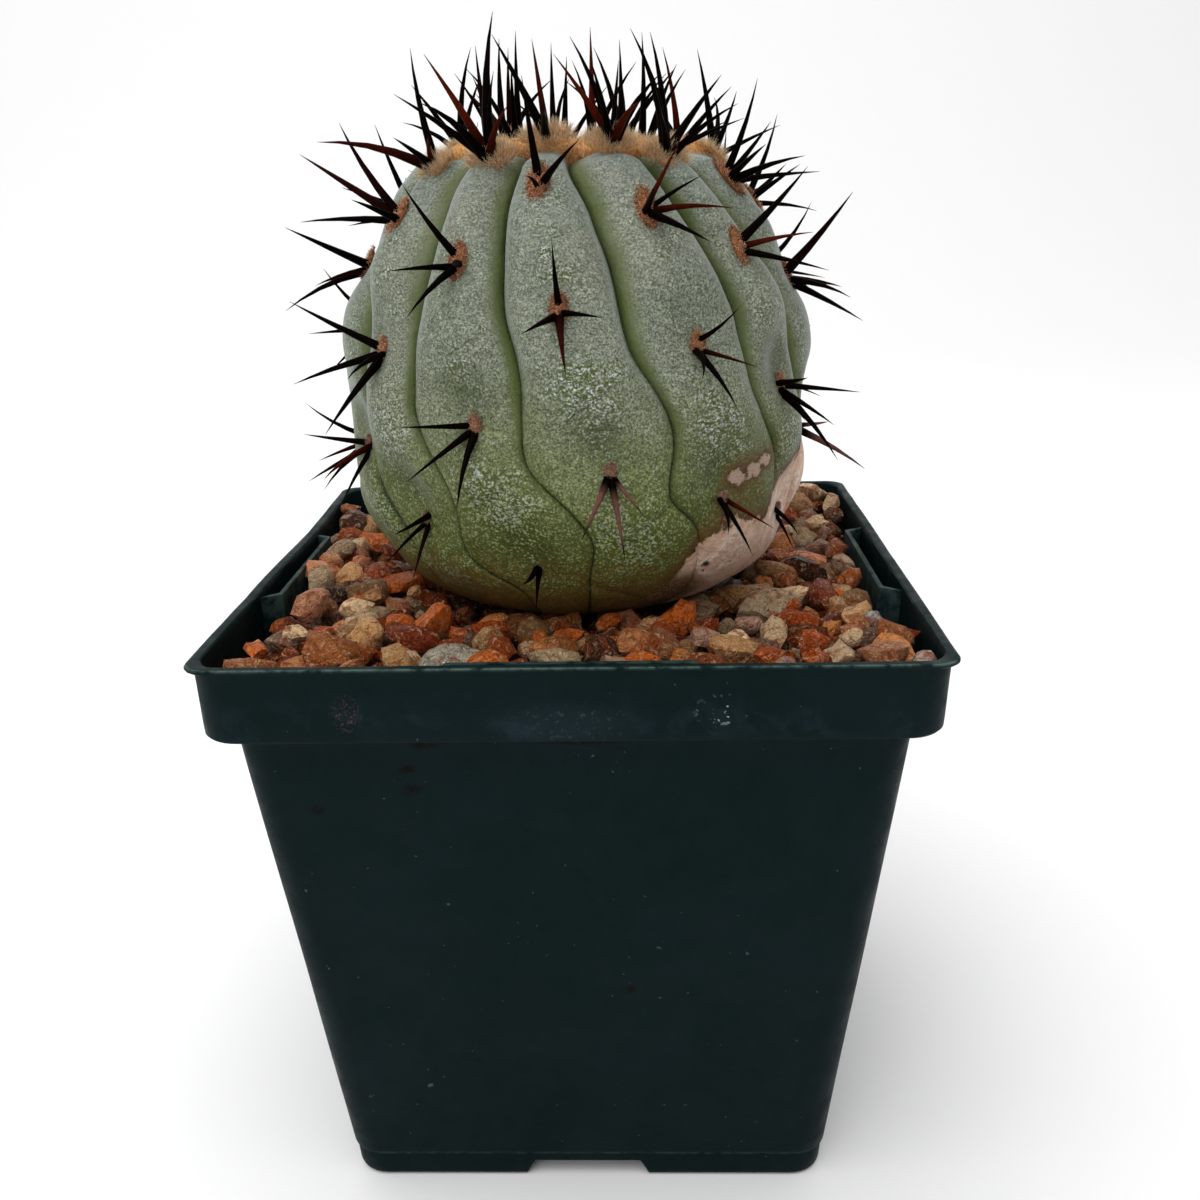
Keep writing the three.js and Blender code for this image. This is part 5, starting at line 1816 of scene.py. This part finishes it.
def areole_age(height):
    """0 for an areole just out of the wool, 1 for the oldest."""
    return min(max((WOOL_AREOLE - height) / OLDEST_DROP, 0), 1)


def by_age(pair, age):
    """A size from its (youngest, oldest) pair."""
    return pair[0] + (pair[1] - pair[0]) * age


def build_felt():
    """Felt pads of the older areoles with their short fibres."""
    rng = random.Random(FELT_SEED)
    shapes = fibre_shapes()
    pad = marked_mesh(FIBRE_MARKS)
    bmesh.ops.create_icosphere(pad, subdivisions=2, radius=1)
    pad_shape = mesh_from(pad, "felt_pad")
    bm = marked_mesh(FIBRE_MARKS)
    for rib, height, _ in all_areoles():
        if height > WOOL_AREOLE:
            continue
        point, normal, up, side = areole_frame(rib, height)
        age = areole_age(height)
        wide = by_age(FELT_WIDE, age)
        tall = by_age(FELT_TALL, age)
        grey = 0.65 * step(age, 0.4, 0.9)
        axes = (side * (PAD_SIZE * wide), up * (PAD_SIZE * tall), normal * PAD_HEIGHT)
        matrix = Matrix([axis * MM for axis in axes]).transposed().to_4x4()
        marks = {"along": 0.1, "tone": -0.2, "grey": grey}
        add_copy(bm, pad_shape, Matrix.Translation(point) @ matrix, marks)
        for _ in range(round(by_age(FELT_FIBRES, age))):
            angle = rng.uniform(0, 2 * math.pi)
            reach = 0.9 * math.sqrt(rng.random())
            aside = side * (wide * reach * math.cos(angle))
            along = up * (tall * reach * math.sin(angle))
            start = point + (aside + along + normal * (0.4 - 0.5 * reach)) * MM
            direction = normal + (aside + along) * 0.16 + scatter(rng) * FELT_SCATTER
            length = rng.uniform(*FELT_LENGTH) * (1 - 0.3 * age)
            tone = rng.uniform(*FELT_TONE) + (0.3 if reach < 0.3 else 0)
            lay_fibre(bm, shapes, rng, start, direction, length, FELT_THICKNESS, tone, grey)
    drop_meshes((*shapes, pad_shape))
    return bm


# Spines

SPINE_MARKS = ("along", "redness", "pale")
SPINE_SIDES = 7
SPINE_BOWS = (0.35, 0.8, 1.2)
SPINE_RINGS = ((-0.12, 1.0), (0.0, 1.0), (0.08, 0.93), (0.3, 0.74), (0.55, 0.5), (0.8, 0.25),
               (1, 0.03))
# Thickness as a share of the length, the least one in mm, and how far it varies
SPINE_THICKNESS = 0.05
LEAST_THICKNESS = 0.46
THICKNESS_SWAY = 0.1
# How far from the areole's middle a spine starts: up, sideways and out, farther in the wool
SPREAD_UP = 1.08
SPREAD_SIDE = 0.765
SPINE_START = 0.2
YOUNG_SPINE_START = 0.6
# Most spines of the areoles at this height are pale in the middle, if they lean less than this
PALE_HEIGHT = 129
PALE_LEAN = 60
PALE_STRENGTH = 0.7
# Where the draws start, and what is added to draw a spine's redness and whether it is pale
FIRST_DRAW = 500
RED_DRAW = 950
PALE_DRAW = 400


def build_spines():
    """Every spine, fanned out from its areole as (turn, lean, length)."""
    shapes = [needle_shape(f"spine_{index}", SPINE_SIDES, SPINE_RINGS, bow, SPINE_MARKS)
              for index, bow in enumerate(SPINE_BOWS)]
    bm = marked_mesh(SPINE_MARKS)
    groups = [(areole_frame(rib, height), height, spines) for rib, height, spines in all_areoles()]
    groups += [(heart_frame(index), HEART_HEIGHT, HEART_SPINES) for index in range(HEART_AREOLES)]
    draw = FIRST_DRAW
    for (point, normal, up, side), height, spines in groups:
        young = height > WOOL_AREOLE
        for turn, lean, length in spines:
            draw += 1
            spin = math.radians(turn)
            tilt = math.radians(lean)
            across = up * math.cos(spin) + side * math.sin(spin)
            along = normal * math.cos(tilt) + across * math.sin(tilt)
            spread = up * (SPREAD_UP * math.cos(spin)) + side * (SPREAD_SIDE * math.sin(spin))
            out = YOUNG_SPINE_START if young else SPINE_START
            start = point + (spread + normal * out) * MM
            thickness = max(LEAST_THICKNESS, SPINE_THICKNESS * length)
            thickness *= 1 + THICKNESS_SWAY * chance(draw)
            matrix = frame_matrix(start, along, normal, thickness * MM, length * MM)
            redness = step(chance(draw + RED_DRAW), 0.4 if young else 0.6, 1.1)
            paler = height == PALE_HEIGHT and lean < PALE_LEAN and chance(draw + PALE_DRAW) > -0.3
            marks = {"redness": redness, "pale": PALE_STRENGTH if paler else 0}
            add_copy(bm, shapes[draw % len(shapes)], matrix, marks)
    drop_meshes(shapes)
    bmesh.ops.recalc_face_normals(bm, faces=bm.faces)
    return bm


# Operators


class CACTUS_OT_pot(bpy.types.Operator):
    """Builds the moulded pot with its lip, label slots, foot and drain holes"""

    bl_idname = "cactus.pot"
    bl_label = "Pot"

    def execute(self, context):
        bm = cut_drains(pot_shell())
        add_label_slots(bm)
        add_piece("moulded_pot", bm, plastic_material(context.scene.cactus_pot), "pot", 35)
        return {"FINISHED"}


class CACTUS_OT_mix(bpy.types.Operator):
    """Gives the potting mix its finish"""

    bl_idname = "cactus.mix"
    bl_label = "Potting mix"

    def execute(self, context):
        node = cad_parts["potting_soil"]
        node.data.materials.clear()
        node.data.materials.append(mix_material())
        return {"FINISHED"}


class CACTUS_OT_gravel(bpy.types.Operator):
    """Lays the gravel and the grit under it"""

    bl_idname = "cactus.gravel"
    bl_label = "Gravel"

    def execute(self, context):
        stones = build_stones(context.scene.cactus_gravel)
        add_piece("gravel_stones", stones, stone_material(), "gravel", 48)
        add_piece("gravel_grit", build_bed(), mix_material(), "gravel", 35)
        return {"FINISHED"}


class CACTUS_OT_skin(bpy.types.Operator):
    """Builds the ribbed skin"""

    bl_idname = "cactus.skin"
    bl_label = "Skin"

    def execute(self, context):
        rows = skin_rows()
        bm = wrapped_sheet(RIB_COUNT * RIB_COLUMNS, len(rows) - 1,
                           lambda column, row: skin_point(rows[row], column), SKIN_MARKS)
        add_piece("cactus_skin", bm, skin_material(context.scene.cactus_plant), "cactus")
        return {"FINISHED"}


class CACTUS_OT_spines(bpy.types.Operator):
    """Builds the felt pads and all the spines"""

    bl_idname = "cactus.spines"
    bl_label = "Felt and spines"

    def execute(self, context):
        plant = context.scene.cactus_plant
        felt = fibre_material("Areole felt", tuple(plant.felt), FELT_TIP)
        add_piece("areole_felt", build_felt(), felt, "cactus")
        add_piece("spines", build_spines(), spine_material(plant), "cactus")
        return {"FINISHED"}


class CACTUS_OT_wool(bpy.types.Operator):
    """Builds the crown wool"""

    bl_idname = "cactus.wool"
    bl_label = "Crown wool"

    def execute(self, context):
        plant = context.scene.cactus_plant
        material = fibre_material("Crown wool", tuple(plant.wool), tuple(plant.wool_tip))
        add_piece("wool_body", build_wool_body(), material, "crown_wool")
        add_piece("wool_fluff", build_wool_fibres(plant), material, "crown_wool")
        add_piece("wool_tufts", build_tufts(), material, "crown_wool")
        return {"FINISHED"}


class CACTUS_OT_stage(bpy.types.Operator):
    """Sets up the floor, the lights and the camera"""

    bl_idname = "cactus.stage"
    bl_label = "Stage"

    def execute(self, context):
        stage = context.scene.cactus_stage
        build_floor(stage)
        build_lights(context.scene, stage)
        build_camera(context.scene)
        return {"FINISHED"}


# Stage: floor and lights in metres, the camera's place in mm and its turns in degrees

FLOOR_REACH = 3.5
SWEEP_FROM = 1.0
SWEEP_RADIUS = 0.8
CAMERA_PLACE = (9.94, -226.14, 172.08)
CAMERA_YAW = 1.740
CAMERA_PITCH = 18.640
CAMERA_ROLL = -1.198
FOCAL_PIXELS = 1265.15
PHOTO_WIDTH = 1200
SENSOR = 36.0


def sweep_place(run):
    """Place along the floor and its height where it sweeps up behind the pot."""
    arc = SWEEP_RADIUS * math.pi / 2
    if run < SWEEP_FROM:
        return run, 0
    if run < SWEEP_FROM + arc:
        angle = (run - SWEEP_FROM) / SWEEP_RADIUS
        return SWEEP_FROM + SWEEP_RADIUS * math.sin(angle), SWEEP_RADIUS * (1 - math.cos(angle))
    return SWEEP_FROM + SWEEP_RADIUS, SWEEP_RADIUS + run - SWEEP_FROM - arc


def build_floor(stage):
    """Floor that sweeps up into a wall behind the pot."""
    bm = bmesh.new()
    bmesh.ops.create_grid(bm, x_segments=1, y_segments=80, size=FLOOR_REACH)
    for vert in bm.verts:
        vert.co.y, vert.co.z = sweep_place(vert.co.y)
    mesh = mesh_from(bm, "floor")
    mesh.shade_smooth()
    mesh.materials.append(floor_material(tuple(stage.floor)))
    floor = bpy.data.objects.new("floor", mesh)
    bpy.context.scene.collection.objects.link(floor)


def add_softbox(name, place, target, size, power):
    """Square area light that faces a target."""
    light = bpy.data.lights.new(name, "AREA")
    light.shape = "SQUARE"
    light.size = size
    light.energy = power
    lamp = bpy.data.objects.new(name, light)
    lamp.location = place
    aim = Vector(target) - Vector(place)
    lamp.rotation_euler = aim.to_track_quat("-Z", "Y").to_euler()
    bpy.context.scene.collection.objects.link(lamp)


def build_lights(scene, stage):
    """Even light from all round, a large softbox overhead and a small one in front."""
    world = bpy.data.worlds.new("Studio")
    scene.world = world
    world.use_nodes = True
    tree = world.node_tree
    tree.nodes.clear()
    sky = add_node(tree, "ShaderNodeBackground", {"Color": (1, 1, 1, 1), "Strength": stage.sky})
    add_node(tree, "ShaderNodeOutputWorld", {"Surface": sky.outputs["Background"]})
    centre = (0, 0, 0.11)
    add_softbox("overhead", (-0.4, -0.4, 2.2), centre, 3.0, stage.key)
    add_softbox("front", (-0.5, -1.3, 0.8), centre, 0.8, stage.front)


def build_camera(scene):
    """Camera at the photo's place and angle."""
    camera = bpy.data.cameras.new("camera")
    camera.sensor_width = SENSOR
    camera.lens = FOCAL_PIXELS * SENSOR / PHOTO_WIDTH
    camera.clip_start = 0.01
    camera.clip_end = 200
    holder = bpy.data.objects.new("camera", camera)
    turn = Matrix.Rotation(math.radians(CAMERA_YAW), 4, "Z")
    turn = turn @ Matrix.Rotation(math.radians(90 - CAMERA_PITCH), 4, "X")
    turn = turn @ Matrix.Rotation(math.radians(CAMERA_ROLL), 4, "Z")
    holder.matrix_world = Matrix.Translation(Vector(CAMERA_PLACE) * MM) @ turn
    scene.collection.objects.link(holder)
    scene.camera = holder
    scene.view_settings.view_transform = "Standard"


class CACTUS_PT_panel(bpy.types.Panel):
    """Steps and settings of the potted cactus"""

    bl_label = "Potted round cactus"
    bl_idname = "CACTUS_PT_panel"
    bl_space_type = "VIEW_3D"
    bl_region_type = "UI"
    bl_category = "Cactus"

    def draw(self, context):
        layout = self.layout
        for operator in OPERATORS:
            layout.operator(operator.bl_idname)
        for name, kind in SETTINGS:
            box = layout.box()
            for key in kind.__annotations__:
                box.prop(getattr(context.scene, name), key)


SETTINGS = (
    ("cactus_plant", PlantSettings),
    ("cactus_pot", PotSettings),
    ("cactus_gravel", GravelSettings),
    ("cactus_stage", StageSettings),
)
OPERATORS = (
    CACTUS_OT_pot,
    CACTUS_OT_mix,
    CACTUS_OT_gravel,
    CACTUS_OT_skin,
    CACTUS_OT_spines,
    CACTUS_OT_wool,
    CACTUS_OT_stage,
)


def register():
    for name, kind in SETTINGS:
        bpy.utils.register_class(kind)
        setattr(bpy.types.Scene, name, PointerProperty(type=kind))
    for kind in (*OPERATORS, CACTUS_PT_panel):
        bpy.utils.register_class(kind)


def unregister():
    for kind in (CACTUS_PT_panel, *reversed(OPERATORS)):
        bpy.utils.unregister_class(kind)
    for name, kind in reversed(SETTINGS):
        delattr(bpy.types.Scene, name)
        bpy.utils.unregister_class(kind)


def main():
    register()
    bpy.ops.cactus.pot()
    bpy.ops.cactus.mix()
    bpy.ops.cactus.gravel()
    bpy.ops.cactus.skin()
    bpy.ops.cactus.spines()
    bpy.ops.cactus.wool()
    bpy.ops.cactus.stage()


if __name__ == "__main__":
    main()
